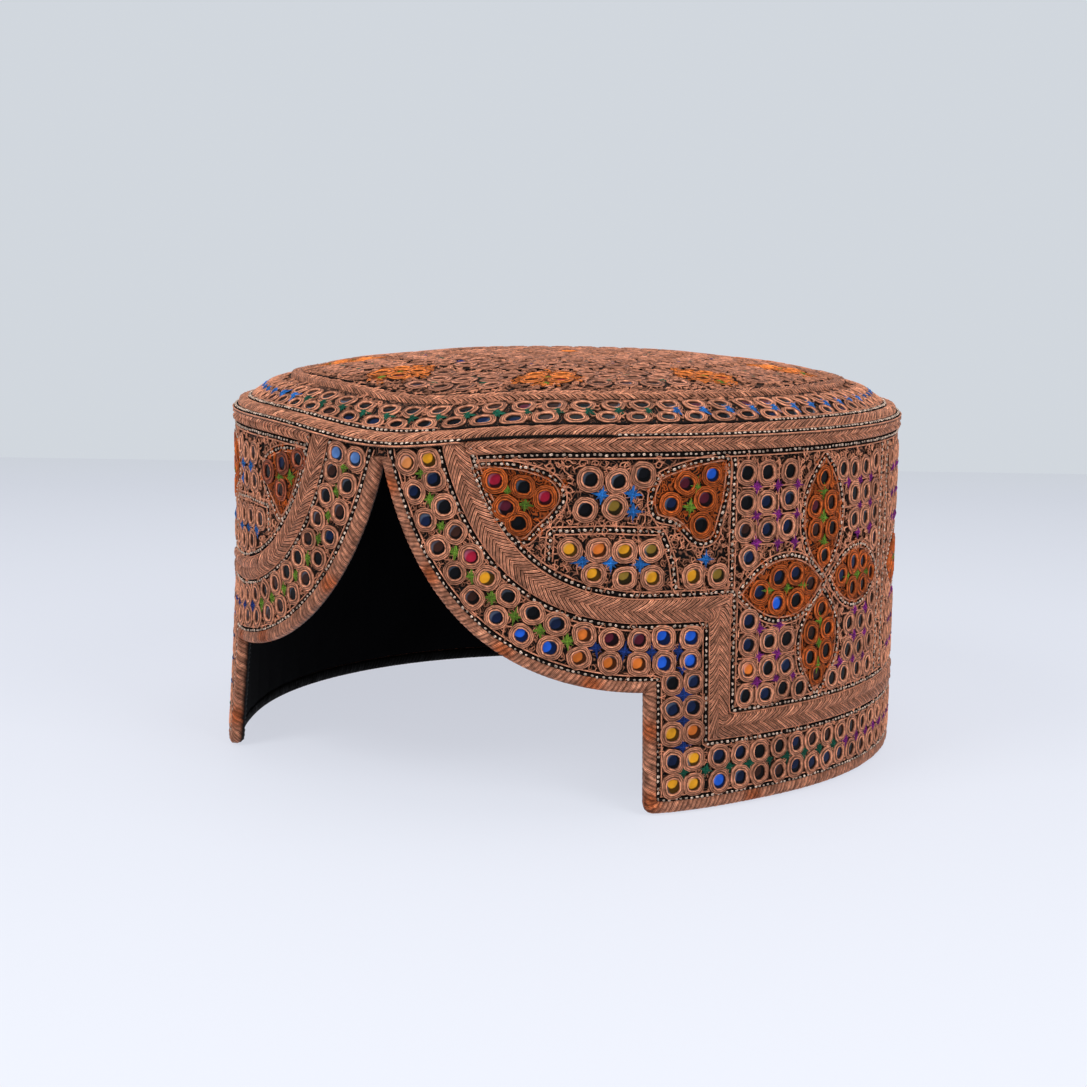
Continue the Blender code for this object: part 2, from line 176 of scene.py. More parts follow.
@dataclass(frozen=True)
class WallSheet:
    """The wall of the cap, unrolled."""

    radius: float = 92.0 * MM
    relief: float = 0.9 * MM
    height: float = 90.0 * MM
    oval: float = 1.65 * MM
    dip: float = 3.6 * MM
    dip_angle: float = math.radians(15.5)
    corner: float = 64.7 * MM
    splay: float = 3.1 * MM
    splay_angle: float = math.radians(14.0)
    splay_height: float = 41.0 * MM

    @property
    def half_turn(self) -> float:
        """Length of the sheet from the front centre to the back centre."""
        return math.pi * self.radius

    def sinking(self, phi: Array) -> Array:
        """How far the shoulder sinks over the arch: dip times exp(-(phi / dip_angle) squared)."""
        turned = np.angle(np.exp(1j * np.asarray(phi, dtype=float)))
        return self.dip * np.exp(-((turned / self.dip_angle) ** 2))

    def shoulder(self, along: Array) -> Array:
        """Height of the shoulder over a place."""
        return self.height - self.sinking(np.asarray(along) / self.radius)

    def reach(self, phi: Array, height: Array) -> Array:
        """Radius of the cloth, which lies under the relief of the embroidery.

        It is radius - relief plus oval times cos(2 phi), plus a splay that is a bell over the angle from
        each flap corner and falls in a straight line to nothing at splay_height.

        Args:
            phi: angle from the front, towards +X.
            height: height above the rim.

        Returns:
            The radius in metres.
        """
        turned = np.angle(np.exp(1j * np.asarray(phi, dtype=float)))
        bell = np.exp(-(((np.abs(turned) - self.corner / self.radius) / self.splay_angle) ** 2))
        lowness = np.clip(1.0 - np.asarray(height) / self.splay_height, 0.0, 1.0)
        cloth = self.radius - self.relief
        return cloth + self.oval * np.cos(2.0 * phi) + self.splay * bell * lowness

    def point(self, places: Array, outward: Array | float = 0.0) -> Array:
        """Roll (along, height) up: (r sin phi, -r cos phi, height), with r the reach plus outward."""
        phi, height = places[..., 0] / self.radius, places[..., 1]
        return rolled(phi, self.reach(phi, height) + outward, height)

    def over(self, phi: Array, radius: Array, rise: Array) -> Array:
        """Points over the wall's top, in rings like its outline that sink with the shoulder.

        Args:
            phi: angle from the front, towards +X.
            radius: distance from the axis, on a cap that is round.
            rise: height over the wall's top.

        Returns:
            Points in metres.
        """
        share = radius / self.radius
        height = self.height + rise - self.sinking(phi) * share**2
        return rolled(phi, share * self.reach(phi, self.height), height)


@dataclass(frozen=True)
class CrownSheet:
    """The domed crown, laid flat as it is seen from above."""

    wall: WallSheet
    edge: float = 87.86 * MM
    rise: float = 14.3 * MM
    radius_shares: tuple[float, ...] = (0.0, 0.42, 0.712, 0.775, 0.86, 0.942, 1.0)
    rise_shares: tuple[float, ...] = (1.0, 0.958, 0.77, 0.70, 0.575, 0.42, 0.18)

    def profile(self, radius: Array) -> tuple[Array, Array]:
        """Rise of the dome at a radius, and its slope, from the rows of the profile.

        Args:
            radius: distance from the axis in metres.

        Returns:
            The rise in metres, and its change for each metre outwards.
        """
        share = np.asarray(radius) / self.edge
        at, up = np.array(self.radius_shares), np.array(self.rise_shares)
        step = 0.02
        rise = np.interp(share, at, up)
        slope = (np.interp(share + step, at, up) - np.interp(share - step, at, up)) / (2.0 * step)
        return rise * self.rise, slope * self.rise / self.edge

    def point(self, places: Array, outward: Array | float = 0.0) -> Array:
        """Lift flat places (x, y) onto the dome and move them outward along its normal."""
        flat = np.hypot(places[..., 0], places[..., 1])
        phi = np.arctan2(places[..., 0], -places[..., 1])
        rise, slope = self.profile(flat)
        tilt = 1.0 / np.sqrt(1.0 + slope**2)
        return self.wall.over(phi, flat - slope * tilt * outward, rise + tilt * outward)


@dataclass(frozen=True)
class ShoulderSheet:
    """The slope over the seam of wall and crown; a place is (along, down the slope)."""

    wall: WallSheet
    setback: float = 1.53 * MM
    rise: float = 1.16 * MM
    slope: float = math.radians(32.0)

    def point(self, places: Array, outward: Array | float = 0.0) -> Array:
        """Carry (along, down) down the slope and outward along its normal, then round the cap."""
        phi = places[..., 0] / self.wall.radius
        down = places[..., 1]
        radius = self.wall.radius - self.setback
        radius = radius + down * math.cos(self.slope) + outward * math.sin(self.slope)
        rise = self.rise - down * math.sin(self.slope) + outward * math.cos(self.slope)
        return self.wall.over(phi, radius, rise)


@dataclass(frozen=True)
class Opening:
    """The arch with its two square steps, and the lines that run beside its edge."""

    wall: WallSheet
    half_width: float = 64.7 * MM
    step: float = 29.0 * MM
    apex: float = 82.5 * MM
    crest_share: float = 0.3
    handles: Pairs = ((0.0, 0.0), (0.136, 0.617), (0.448, 0.981), (1.0, 1.0))
    corner_soft: float = 2.4 * MM
    arch_stations: int = 60
    rim_stations: int = 90

    def arch(self) -> tuple[Array, Array]:
        """Points and cloth-side normals of the arch, a cubic curve on its four handles."""
        t = np.linspace(0.0, 1.0, self.arch_stations)[:, None]
        rise = self.apex - self.step
        first, second, third, last = (
            np.array([along * self.half_width, self.apex - drop * rise])
            for along, drop in self.handles
        )
        point = (1 - t) ** 3 * first + 3 * (1 - t) ** 2 * t * second
        point = point + 3 * (1 - t) * t**2 * third + t**3 * last
        tangent = (1 - t) ** 2 * (second - first) + 2 * (1 - t) * t * (third - second)
        tangent = tangent + t**2 * (last - third)
        tangent /= np.linalg.norm(tangent, axis=1, keepdims=True)
        return point, pair(-tangent[:, 1], tangent[:, 0])

    def line(
        self, inset: float, drop: float | None = None, band: Range | None = None
    ) -> Array:
        """Half of a line that keeps inset metres from the edge, from the top to the back centre.

        The flap's lower corner is round at the edge itself, and sharper the further in the line is.

        Args:
            inset: distance from the cut edge, towards the cloth.
            drop: how far under the shoulder it starts; without it, it starts at the front centre.
            band: smaller and larger inset of the band that the line bounds; the stations of its two
                lines face each other squarely between the corners.

        Returns:
            Places on the wall, as many for every inset.
        """
        point, normal = self.arch()
        line = point + inset * normal
        climb = np.array([-normal[0, 1], normal[0, 0]])
        if drop is None:
            crest = self.apex + self.crest_share * inset
            line[0] = line[0] + climb * (crest - line[0, 1]) / climb[1]
            line = np.vstack([[0.0, crest], line])
        else:
            for _ in range(3):
                lift = float(self.wall.shoulder(line[0, 0])) - drop - line[0, 1]
                line[0] = line[0] + climb * lift / climb[1]
        near, far = band or (inset, inset)
        margin = 0.4 * MM
        flap = self.half_width + inset
        soft = max(0.25 * MM, self.corner_soft - 0.6 * inset)
        turn = np.radians([180.0, 210.0, 240.0, 270.0])
        bend = pair(flap + soft * (1.0 + np.cos(turn)), inset + soft * (1.0 + np.sin(turn)))
        step = [
            [self.half_width + 0.97 * near, self.step + inset],
            [flap, self.step + inset],
            [flap, self.step + near - margin],
            [flap, far + margin],
        ]
        rim = np.linspace(self.half_width + far + margin, self.wall.half_turn, self.rim_stations)
        rim = level(rim, inset)
        return np.vstack([line[:-1], step, bend, rim])

    def clearance(self, places: Array) -> Array:
        """Distance of places from the cut edge and the rim."""
        edge = self.line(0.0)
        edge = spaced(edge, int(run_lengths(edge)[-1] / (1.0 * MM)))
        folded = pair(np.abs(places[..., 0]), places[..., 1])
        gap = np.linalg.norm(folded[..., None, :] - edge, axis=-1)
        return gap.min(axis=-1)

    def is_open(self, places: Array) -> Array:
        """Whether places lie in the opening, below the arch or between the flaps."""
        along = np.abs(places[..., 0])
        point, _ = self.arch()
        roof = np.interp(along, point[:, 0], point[:, 1])
        return (along < self.half_width) & (places[..., 1] < roof)


def flipped(line: Array) -> Array:
    """The same places on the other side of the front centre."""
    return line * np.array([-1.0, 1.0])


def as_run(half: Array) -> Array:
    """Whole line: down the right side, round the back and up the left side.

    Args:
        half: line from the top to the back centre on the right.

    Returns:
        Places whose along grows from the right start, through the back, to a turn less the start.
    """
    turn = 2.0 * WALL.half_turn
    left = flipped(half) + np.array([turn, 0.0])
    return np.concatenate([half, left[-2::-1]])


def run_lengths(line: Array) -> Array:
    """Length of the line up to each of its points."""
    steps = np.linalg.norm(np.diff(line, axis=0), axis=1)
    return np.concatenate([[0.0], np.cumsum(steps)])


def places_at(line: Array, stops: Array) -> Array:
    """Places on the line at given lengths along it."""
    reach = run_lengths(line)
    return np.stack([np.interp(stops, reach, line[:, axis]) for axis in (0, 1)], axis=-1)


def spaced(line: Array, count: int) -> Array:
    """The line again, with count equal stretches."""
    return places_at(line, np.linspace(0.0, run_lengths(line)[-1], count + 1))


def smooth_loop(corners: Array, steps: int = 8) -> Array:
    """Closed Catmull-Rom curve through corners, each stretch a cubic of its four nearest corners.

    Args:
        corners: places in order round the loop.
        steps: points for each stretch.

    Returns:
        Places round the loop, the first one again at the end.
    """
    t = (np.arange(steps) / steps)[None, :, None]
    a, b, c, d = (np.roll(corners, shift, axis=0)[:, None, :] for shift in (1, 0, -1, -2))
    curve = 2 * b + (c - a) * t + (2 * a - 5 * b + 4 * c - d) * t**2
    curve = 0.5 * (curve + (3 * b - a - 3 * c + d) * t**3)
    curve = curve.reshape(-1, 2)
    return np.vstack([curve, curve[:1]])


def lens(middle: Array, tip: Array, half_width: float, steps: int = 16) -> Array:
    """Closed pointed oval: its half width falls with the square of the distance from its middle.

    Args:
        middle: centre of the oval.
        tip: vector from the centre to one point.
        half_width: widest distance from the axis.
        steps: points on each side.

    Returns:
        Places round the oval, the first one again at the end.
    """
    u = np.linspace(-1.0, 1.0, steps + 1)[:, None]
    side = np.array([-tip[1], tip[0]]) / np.linalg.norm(tip) * half_width
    upper = middle + u * tip + (1.0 - np.abs(u) ** 2.2) * side
    lower = middle + u * tip - (1.0 - np.abs(u) ** 2.2) * side
    return np.vstack([upper, lower[-2::-1]])


def circle(radius: float, count: int, start: float = 0.0) -> Array:
    """Closed circle on the crown; the first place comes again at the end."""
    turn = np.linspace(0.0, 2.0 * math.pi, count + 1) + start
    return radius * pair(np.sin(turn), -np.cos(turn))


def inside(places: Array, loop: Array) -> Array:
    """Whether places lie inside a closed loop, by counting the sides crossed to their right.

    Args:
        places: array of places (n, 2).
        loop: closed line, the first place again at the end.

    Returns:
        One truth value for each place.
    """
    x, y = places[:, None, 0], places[:, None, 1]
    a, b = loop[:-1][None], loop[1:][None]
    spans = (a[..., 1] > y) != (b[..., 1] > y)
    rise = np.where(spans, b[..., 1] - a[..., 1], 1.0)
    cross = a[..., 0] + (y - a[..., 1]) * (b[..., 0] - a[..., 0]) / rise
    return np.sum(spans & (cross > x), axis=1) % 2 == 1


WALL = WallSheet()
CROWN = CrownSheet(WALL)
SHOULDER = ShoulderSheet(WALL)
OPENING = Opening(WALL)


# Meshes


def shown(name: str, data: bpy.types.ID) -> bpy.types.Object:
    """An object of the scene, made from its mesh, camera or lamp."""
    item = bpy.data.objects.new(name, data)
    bpy.context.scene.collection.objects.link(item)
    return item


@dataclass
class Surface:
    """Points and faces of a piece, with a colour and a thread coordinate at each point.

    The first thread coordinate counts strands across the work, and the second is millimetres
    along them.
    """

    points: Array
    quads: Array
    tris: Array
    tint: Array
    strand: Array

    @staticmethod
    def flat(*parts: Array) -> Surface:
        """A surface from its five arrays, of any shapes that end in 3, 4, 3, 3 and 2."""
        return Surface(*(part.reshape(-1, width) for part, width in zip(parts, (3, 4, 3, 3, 2))))

    @staticmethod
    def joined(surfaces: list[Surface]) -> Surface:
        """One surface from several."""
        starts = np.cumsum([0] + [len(part.points) for part in surfaces[:-1]])
        moved = [
            (part.points, part.quads + start, part.tris + start, part.tint, part.strand)
            for part, start in zip(surfaces, starts)
        ]
        return Surface(*(np.concatenate(column) for column in zip(*moved)))

    def to_object(self, name: str, material: Material) -> bpy.types.Object:
        """Make the mesh object, smooth, with its attributes and its UV map.

        Args:
            name: the object's name.
            material: its one material.

        Returns:
            The linked object, at the origin.
        """
        mesh = bpy.data.meshes.new(name)
        corners = np.concatenate([self.quads.ravel(), self.tris.ravel()]).astype(np.int32)
        quad_starts = 4 * np.arange(len(self.quads))
        tri_starts = 4 * len(self.quads) + 3 * np.arange(len(self.tris))
        mesh.vertices.add(len(self.points))
        mesh.vertices.foreach_set("co", self.points.ravel().astype(np.float32))
        mesh.loops.add(len(corners))
        mesh.loops.foreach_set("vertex_index", corners)
        mesh.polygons.add(len(self.quads) + len(self.tris))
        starts = np.concatenate([quad_starts, tri_starts]).astype(np.int32)
        mesh.polygons.foreach_set("loop_start", starts)
        mesh.update(calc_edges=True)
        mesh.shade_smooth()
        colour = np.hstack([self.tint, np.ones((len(self.tint), 1))])
        layer = mesh.attributes.new("tint", "FLOAT_COLOR", "POINT")
        layer.data.foreach_set("color", colour.ravel().astype(np.float32))
        uv = mesh.uv_layers.new(name="UVMap")
        uv.data.foreach_set("uv", self.strand[corners].ravel().astype(np.float32))
        mesh.validate()
        mesh.materials.append(material)
        return shown(name, mesh)


def grid_quads(stations: int, rows: int, wrap: bool = False, wrap_rows: bool = False) -> Array:
    """Quads of a grid whose points are stored row after row within each station.

    Args:
        stations: points along the grid.
        rows: points across it.
        wrap: whether the last station joins the first.
        wrap_rows: whether the last row joins the first.

    Returns:
        Corner numbers (faces, 4).
    """
    i = np.arange(stations if wrap else stations - 1)[:, None]
    j = np.arange(rows if wrap_rows else rows - 1)[None, :]
    here, after, up = i * rows, (i + 1) % stations * rows, (j + 1) % rows
    return np.stack([here + j, after + j, after + up, here + up], axis=-1).reshape(-1, 4)


NO_TRIS = np.zeros((0, 3), dtype=int)
NO_QUADS = np.zeros((0, 4), dtype=int)


@dataclass(frozen=True)
class Stitching:
    """Stitches that lie side by side along a band, each one a ridge.

    share and lift give the band's section: where each row lies between the near and the far line,
    and how far it stands off the sheet. lean says how far each row runs ahead, so that the stitches
    slant, and swell how much of the ridge it takes. painted_groove_light is how much light is left
    in the painted shade between two stitches, whose crests are painted brighter. wander is how far
    their bounds and slant stray, sizes and shades are the ranges of their height and tone, and
    glints are the share of brighter ones and their gain.
    """

    pitch: float
    share: Array
    lift: Array
    lean: Array
    swell: Array
    ridge: float = 0.34 * MM
    painted_groove_light: float = 0.04
    samples: int = 4
    strands: int = 3
    closed_section: bool = False
    wander: float = 0.13
    sizes: Range = (0.5, 1.4)
    shades: Range = (0.66, 1.3)
    glints: Range = (0.14, 1.4)
    patch_reach: float = 2.6 * MM

    def carry(
        self,
        sheet: Sheet,
        near: Array,
        far: Array,
        closed: bool,
        rng: Rng,
        colour: Array,
        patches: Array | None = None,
    ) -> Surface:
        """Lay the stitches between two lines.

        At a length t on the middle line, a row lies at t plus its lean, between the near and far
        lines by its share. It stands lift plus ridge * swell * sin(pi * phase) off the sheet, where
        phase runs from 0 to 1 over each stitch.

        Args:
            sheet: the surface below.
            near: line of places.
            far: line with as many places, on the band's other side.
            closed: whether the lines are loops, with their first place again at the end.
            rng: source of the stitches' shades.
            colour: linear colour of the thread.
            patches: places where the thread is orange instead, if any.

        Returns:
            The band as one surface.
        """
        reach = run_lengths(0.5 * (near + far))
        spread = 0.0 if closed else float(np.ptp(self.lean))
        count = max(2, round((reach[-1] + spread) / self.pitch))
        pitch = (reach[-1] + spread) / count
        stations = count * self.samples + (0 if closed else 1)
        step = np.arange(stations)
        phase = step % self.samples / self.samples
        start = 0.0 if closed else -float(self.lean.max())
        bounds = np.arange(count + 1) + rng.normal(0.0, self.wander, count + 1)
        bounds[[0, -1]] = [0.0, count]
        ahead = np.interp(step / self.samples, np.arange(count + 1), bounds) * pitch
        knots = np.arange(0, count + 8, 8)
        sway = np.interp(step / self.samples, knots, rng.normal(0.0, self.wander, len(knots)))
        if closed:
            sway = 0.0 * sway
        t = start + ahead[:, None] + self.lean[None, :] * (1.0 + sway[:, None])
        t = t % reach[-1] if closed else np.clip(t, 0.0, reach[-1])
        share = self.share[None, :, None]
        one, other = (
            np.stack([np.interp(t, reach, line[:, axis]) for axis in (0, 1)], axis=-1)
            for line in (near, far)
        )
        places = one * (1.0 - share) + other * share
        bulge = np.sin(math.pi * phase) ** 0.8
        jitter = rng.uniform(*self.sizes, (count + 1, 2))
        side = (self.share > 0.5).astype(int)
        stitch = step // self.samples
        swell = self.swell[None, :] * bulge[:, None] * jitter[stitch][:, side]
        points = sheet.point(places, self.lift[None, :] + self.ridge * swell)
        shade = rng.uniform(*self.shades, (count + 1, 2))
        glint_share, gain = self.glints
        shade = shade * np.where(rng.uniform(0.0, 1.0, shade.shape) < glint_share, gain, 1.0)
        # painted shade in the grooves between stitches and painted highlight on their crests
        depth = self.painted_groove_light + (1.2 - self.painted_groove_light) * bulge[:, None]
        shade = shade[stitch][:, side] * depth
        base = np.broadcast_to(colour, shade.shape + (3,)).copy()
        if patches is not None:
            gap = np.linalg.norm(places[:, :, None, :] - patches, axis=-1).min(axis=-1)
            warm = 0.8 * np.clip(1.5 - gap / self.patch_reach, 0.0, 1.0)[..., None]
            base = base * (1.0 - warm) + Tint.ORANGE.light * warm
        across = np.broadcast_to((step / self.samples * self.strands)[:, None], shade.shape)
        down = np.broadcast_to(1.0 + np.arange(len(self.share))[None, :], shade.shape)
        quads = grid_quads(stations, len(self.share), closed, self.closed_section)
        return Surface.flat(points, quads, NO_TRIS, base * shade[..., None], pair(across, down))


def plait(pitch: float, lean: float, rise: float, rows: int = 4, strands: int = 3) -> Stitching:
    """Two-sided plait: the stitches of both halves run ahead towards the edges.

    Each half is a round lobe, the root of 4 w (1 - w) with w from the middle to the edge.

    Args:
        pitch: distance from stitch to stitch.
        lean: how far a stitch's outer end is ahead of its inner end.
        rise: height of the lobes.
        rows: rows of points on each half.
        strands: threads in a stitch.

    Returns:
        The stitching.
    """
    w = np.abs(np.linspace(-1.0, 1.0, 2 * rows + 1))
    lobe = np.sqrt(np.clip(4.0 * w * (1.0 - w), 0.0, 1.0))
    lift = np.where(w == 1.0, -0.1 * MM, rise * (0.5 + 0.5 * lobe))
    share = np.linspace(0.0, 1.0, 2 * rows + 1)
    return Stitching(pitch, share, lift, lean * w, 0.25 + 0.75 * lobe, strands=strands)


@dataclass(frozen=True)
class Stamp:
    """A small form that is laid down many times: flat places, heights and thread coordinates."""

    places: Array
    heights: Array
    quads: Array
    tris: Array
    strand: Array

    def laid(
        self,
        sheet: Sheet,
        centres: Array,
        tint: Array,
        turn: Array | float = 0.0,
        stretch: Array | float = 1.0,
        warp: Array | float = 1.0,
        lift: float = 0.0,
    ) -> Surface:
        """Lay a copy at each centre, stretched, turned and bent with the sheet.

        Args:
            sheet: the surface below.
            centres: places (n, 2).
            tint: linear colours (n, 3), or (n, points, 3).
            turn: angles (n).
            stretch: scales (n, 2) along the stamp's own axes.
            warp: factors (n, points) on the distance from the centre.
            lift: height added to all.

        Returns:
            The copies as one surface.
        """
        count, size = len(centres), len(self.places)
        turn = np.broadcast_to(turn, (count,))[:, None]
        local = self.places[None] * np.broadcast_to(stretch, (count, 2))[:, None, :]
        local = local * np.broadcast_to(warp, (count, size))[..., None]
        x = local[..., 0] * np.cos(turn) - local[..., 1] * np.sin(turn)
        y = local[..., 0] * np.sin(turn) + local[..., 1] * np.cos(turn)
        places = centres[:, None, :] + pair(x, y)
        points = sheet.point(places, self.heights[None, :] + lift)
        starts = size * np.arange(count)[:, None, None]
        shades = tint[:, None, :] if tint.ndim == 2 else tint
        paint = np.broadcast_to(shades, (count, size, 3))
        strand = np.broadcast_to(self.strand, (count, size, 2))
        return Surface.flat(points, self.quads[None] + starts, self.tris[None] + starts, paint, strand)


@dataclass(frozen=True)
class MirrorWork:
    """A mirror held by a ring of couched thread, as wide as the real ones.

    The ring's profile runs from its foot to the glass: shares of the radius, heights in
    millimetres times rise, strands across, and tones. The tones hold painted light: a near-black
    foot that is partly black ground and partly painted shade round the ring, ridges that are partly
    paler thread and partly painted highlight, and painted shade in the groove and by the glass.
    The glass is a disc inside it.
    """

    radius: float = 3.1 * MM
    sides: int = 13
    ring_shares: tuple[float, ...] = (1.12, 1.05, 0.93, 0.77, 0.64, 0.5)
    ring_heights: tuple[float, ...] = (-0.1, 0.4, 0.86, 0.56, 0.98, 0.2)
    ring_strands: tuple[float, ...] = (-0.2, 0.1, 0.8, 1.75, 2.5, 3.1)
    ring_tones_and_painted_light: tuple[float, ...] = (0.02, 0.16, 1.3, 0.72, 1.38, 0.16)
    disc_share: float = 0.6
    disc_height: float = 0.42 * MM
    rise: float = 1.0

    def turns(self) -> Array:
        """Angles of the ring's stations."""
        return np.arange(self.sides) * 2.0 * math.pi / self.sides

    def ring(self) -> Stamp:
        """The thread ring: a profile carried round, with a dark foot and two ridges, its tones holding
        painted shade and painted highlights.
        """
        rows = len(self.ring_shares)
        turn = self.turns()[:, None]
        share = np.array(self.ring_shares)[None, :] * self.radius
        places = polar(share, turn)
        heights = np.broadcast_to(np.array(self.ring_heights) * self.rise * MM, (self.sides, rows))
        across = np.broadcast_to(np.array(self.ring_strands), (self.sides, rows))
        down = np.broadcast_to(np.abs(turn - math.pi) * self.radius / MM, (self.sides, rows))
        return Stamp(
            places.reshape(-1, 2),
            heights.ravel(),
            grid_quads(self.sides, rows, wrap=True),
            NO_TRIS,
            pair(across, down).reshape(-1, 2),
        )

    def disc(self) -> Stamp:
        """The mirror: a fan with one inner row; its thread coordinate is its own flat place, which
        places its painted crescent and gleam.
        """
        turn = self.turns()[:, None]
        share = np.array([1.0, 0.6])[None, :] * self.disc_share * self.radius
        places = polar(share, turn).reshape(-1, 2)
        places = np.vstack([places, [[0.0, 0.0]]])
        inner = 2 * np.arange(self.sides) + 1
        hub = np.full(self.sides, 2 * self.sides)
        fan = np.stack([inner, np.roll(inner, -1), hub], axis=-1)
        quads = grid_quads(self.sides, 2, wrap=True)
        strand = places / (0.9 * self.disc_share * self.radius)
        return Stamp(places, np.full(len(places), self.disc_height), quads, fan, strand)


@dataclass
class MirrorBed:
    """Mirrors on one sheet: their places, the thread round them and their glass.

    The numbers after the lists are how far rings and glass stray from their places, the largest
    oval, and the ranges of squareness, size, wobble, tone and grain.
    """

    sheet: Sheet
    work: MirrorWork = field(default_factory=MirrorWork)
    centres: list[Array] = field(default_factory=list)
    threads: list[Array] = field(default_factory=list)
    glass: list[Array] = field(default_factory=list)
    squeezes: list[Array] = field(default_factory=list)
    round_axis: bool = False
    ring_stray: float = 0.13 * MM
    glass_stray: float = 0.12 * MM
    oval: float = 0.055
    squares: Range = (0.01, 0.06)
    sizes: Range = (0.94, 1.05)
    wobbles: Range = (0.975, 1.025)
    tones: Range = (0.78, 1.2)
    grains: Range = (0.72, 1.25)

    def add(self, centres: Array, thread: Tint, glass: Array, squeeze: float = 1.0) -> None:
        """Put mirrors at centres, all in one thread, with a colour of glass each.

        Args:
            centres: places (n, 2).
            thread: colour of the ring.
            glass: linear colours (n, 3).
            squeeze: scale across the row: up the wall, or away from the crown's middle.
        """
        self.centres.append(np.asarray(centres, dtype=float))
        self.squeezes.append(np.full(len(centres), squeeze))
        self.threads.append(np.broadcast_to(thread.light, (len(centres), 3)))
        self.glass.append(np.asarray(glass))

    def all_centres(self) -> Array:
        """Places of all mirrors."""
        return np.concatenate(self.centres)

    def surfaces(self, rng: Rng) -> tuple[Surface, Surface]:
        """Rings and mirrors, each ring a little oval, square and off its place.

        The distance of a ring's point from its centre is multiplied by
        1 + oval cos 2(turn - a) - square cos 4(turn - b), and then scaled across the row.

        Args:
            rng: source of the variation.

        Returns:
            The thread rings and the mirrors.
        """
        centres, threads, glass, squeeze = (
            np.concatenate(part) for part in (self.centres, self.threads, self.glass, self.squeezes)
        )
        count = len(centres)
        bearing = np.arctan2(centres[:, 1], centres[:, 0]) - 0.5 * math.pi if self.round_axis else 0.0
        centres = centres + rng.normal(0.0, self.ring_stray, (count, 2))
        turn = self.work.turns()
        oval = rng.uniform(0.0, self.oval, count)[:, None]
        oval_at = rng.uniform(0.0, math.pi, count)[:, None]
        square = rng.uniform(*self.squares, count)[:, None]
        square_at = rng.normal(0.0, 0.25, count)[:, None]
        warp = 1.0 + oval * np.cos(2.0 * (turn - oval_at)) - square * np.cos(4.0 * (turn - square_at))
        size = rng.uniform(*self.sizes, count)[:, None]
        ring, disc = self.work.ring(), self.work.disc()
        wobble = rng.uniform(*self.wobbles, (count, len(ring.places)))
        ring_warp = np.repeat(warp * size, len(self.work.ring_shares), axis=1) * wobble
        disc_warp = np.concatenate([np.repeat(warp * size, 2, axis=1), size], axis=1)
        shade = rng.uniform(*self.tones, (count, 1, 1))
        # row tones paint the ring's shade and highlights: dark foot, groove and glass edge, bright ridges
        rows = np.tile(self.work.ring_tones_and_painted_light, self.work.sides)[None, :, None]
        grain = rng.uniform(*self.grains, (count, len(ring.places), 1))
        paint = threads[:, None, :] * shade * rows * grain
        stretch = pair(np.ones(count), squeeze)
        rings = ring.laid(self.sheet, centres, paint, bearing, stretch, ring_warp)
        shift = rng.normal(0.0, self.glass_stray, (count, 2))
        discs = disc.laid(self.sheet, centres + shift, glass, bearing, stretch, disc_warp)
        # moves each mirror's painted crescent and gleam a little
        discs.strand = discs.strand + np.repeat(rng.normal(0.0, 0.12, (count, 2)), len(disc.places), axis=0)
        return rings, discs


def star_stamp(
    arms: int = 4, reach: float = 2.6 * MM, waist: float = 0.7 * MM, rise: float = 1.0
) -> Stamp:
    """A crossing of stitches: pointed arms, highest in the middle.

    Args:
        arms: number of points.
        reach: distance from the middle to a tip.
        waist: distance from the middle to the notch between two arms.
        rise: factor on the height.

    Returns:
        The stamp, with its first arm along x.
    """
    turn = np.arange(2 * arms) * math.pi / arms
    radius = np.where(np.arange(2 * arms) % 2 == 0, reach, waist)
    rim = polar(radius, turn)
    places = np.vstack([rim, [[0.0, 0.0]]])
    heights = rise * np.append(np.where(radius == reach, 0.3 * MM, 0.35 * MM), 1.05 * MM)
    edge = np.arange(2 * arms)
    fan = np.stack([edge, np.roll(edge, -1), np.full(2 * arms, 2 * arms)], axis=-1)
    strand = np.append(np.where(edge % 2 == 0, 0.5, 2.5), 0.5)
    strand = pair(strand, np.append(radius, 0.0) / MM)
    return Stamp(places, heights, NO_QUADS, fan, strand)


def dash_stamp(length: float = 0.98 * MM, width: float = 0.68 * MM, height: float = 0.36 * MM) -> Stamp:
    """One pale stitch: half an egg with six sides, lying along x."""
    turn = np.arange(6) * math.pi / 3.0
    oval = pair(0.5 * length * np.cos(turn), 0.5 * width * np.sin(turn))
    places = np.vstack([oval, 0.7 * oval, [[0.0, 0.0]]])
    heights = np.concatenate([np.zeros(6), np.full(6, 0.75 * height), [height]])
    lower = np.arange(6)
    upper = lower + 6
    after = np.roll(lower, -1)
    quads = np.stack([lower, after, after + 6, upper], axis=-1)
    fan = np.stack([upper, after + 6, np.full(6, 12)], axis=-1)
    strand = pair(places[:, 1] / (0.3 * MM), places[:, 0] / MM)
    return Stamp(places, heights, quads, fan, strand)


def sideways(paths: Array) -> Array:
    """Unit vectors to the left of each path at its places."""
    along = np.gradient(paths, axis=-2)
    along /= np.maximum(np.linalg.norm(along, axis=-1, keepdims=True), 1e-9)
    return pair(-along[..., 1], along[..., 0])


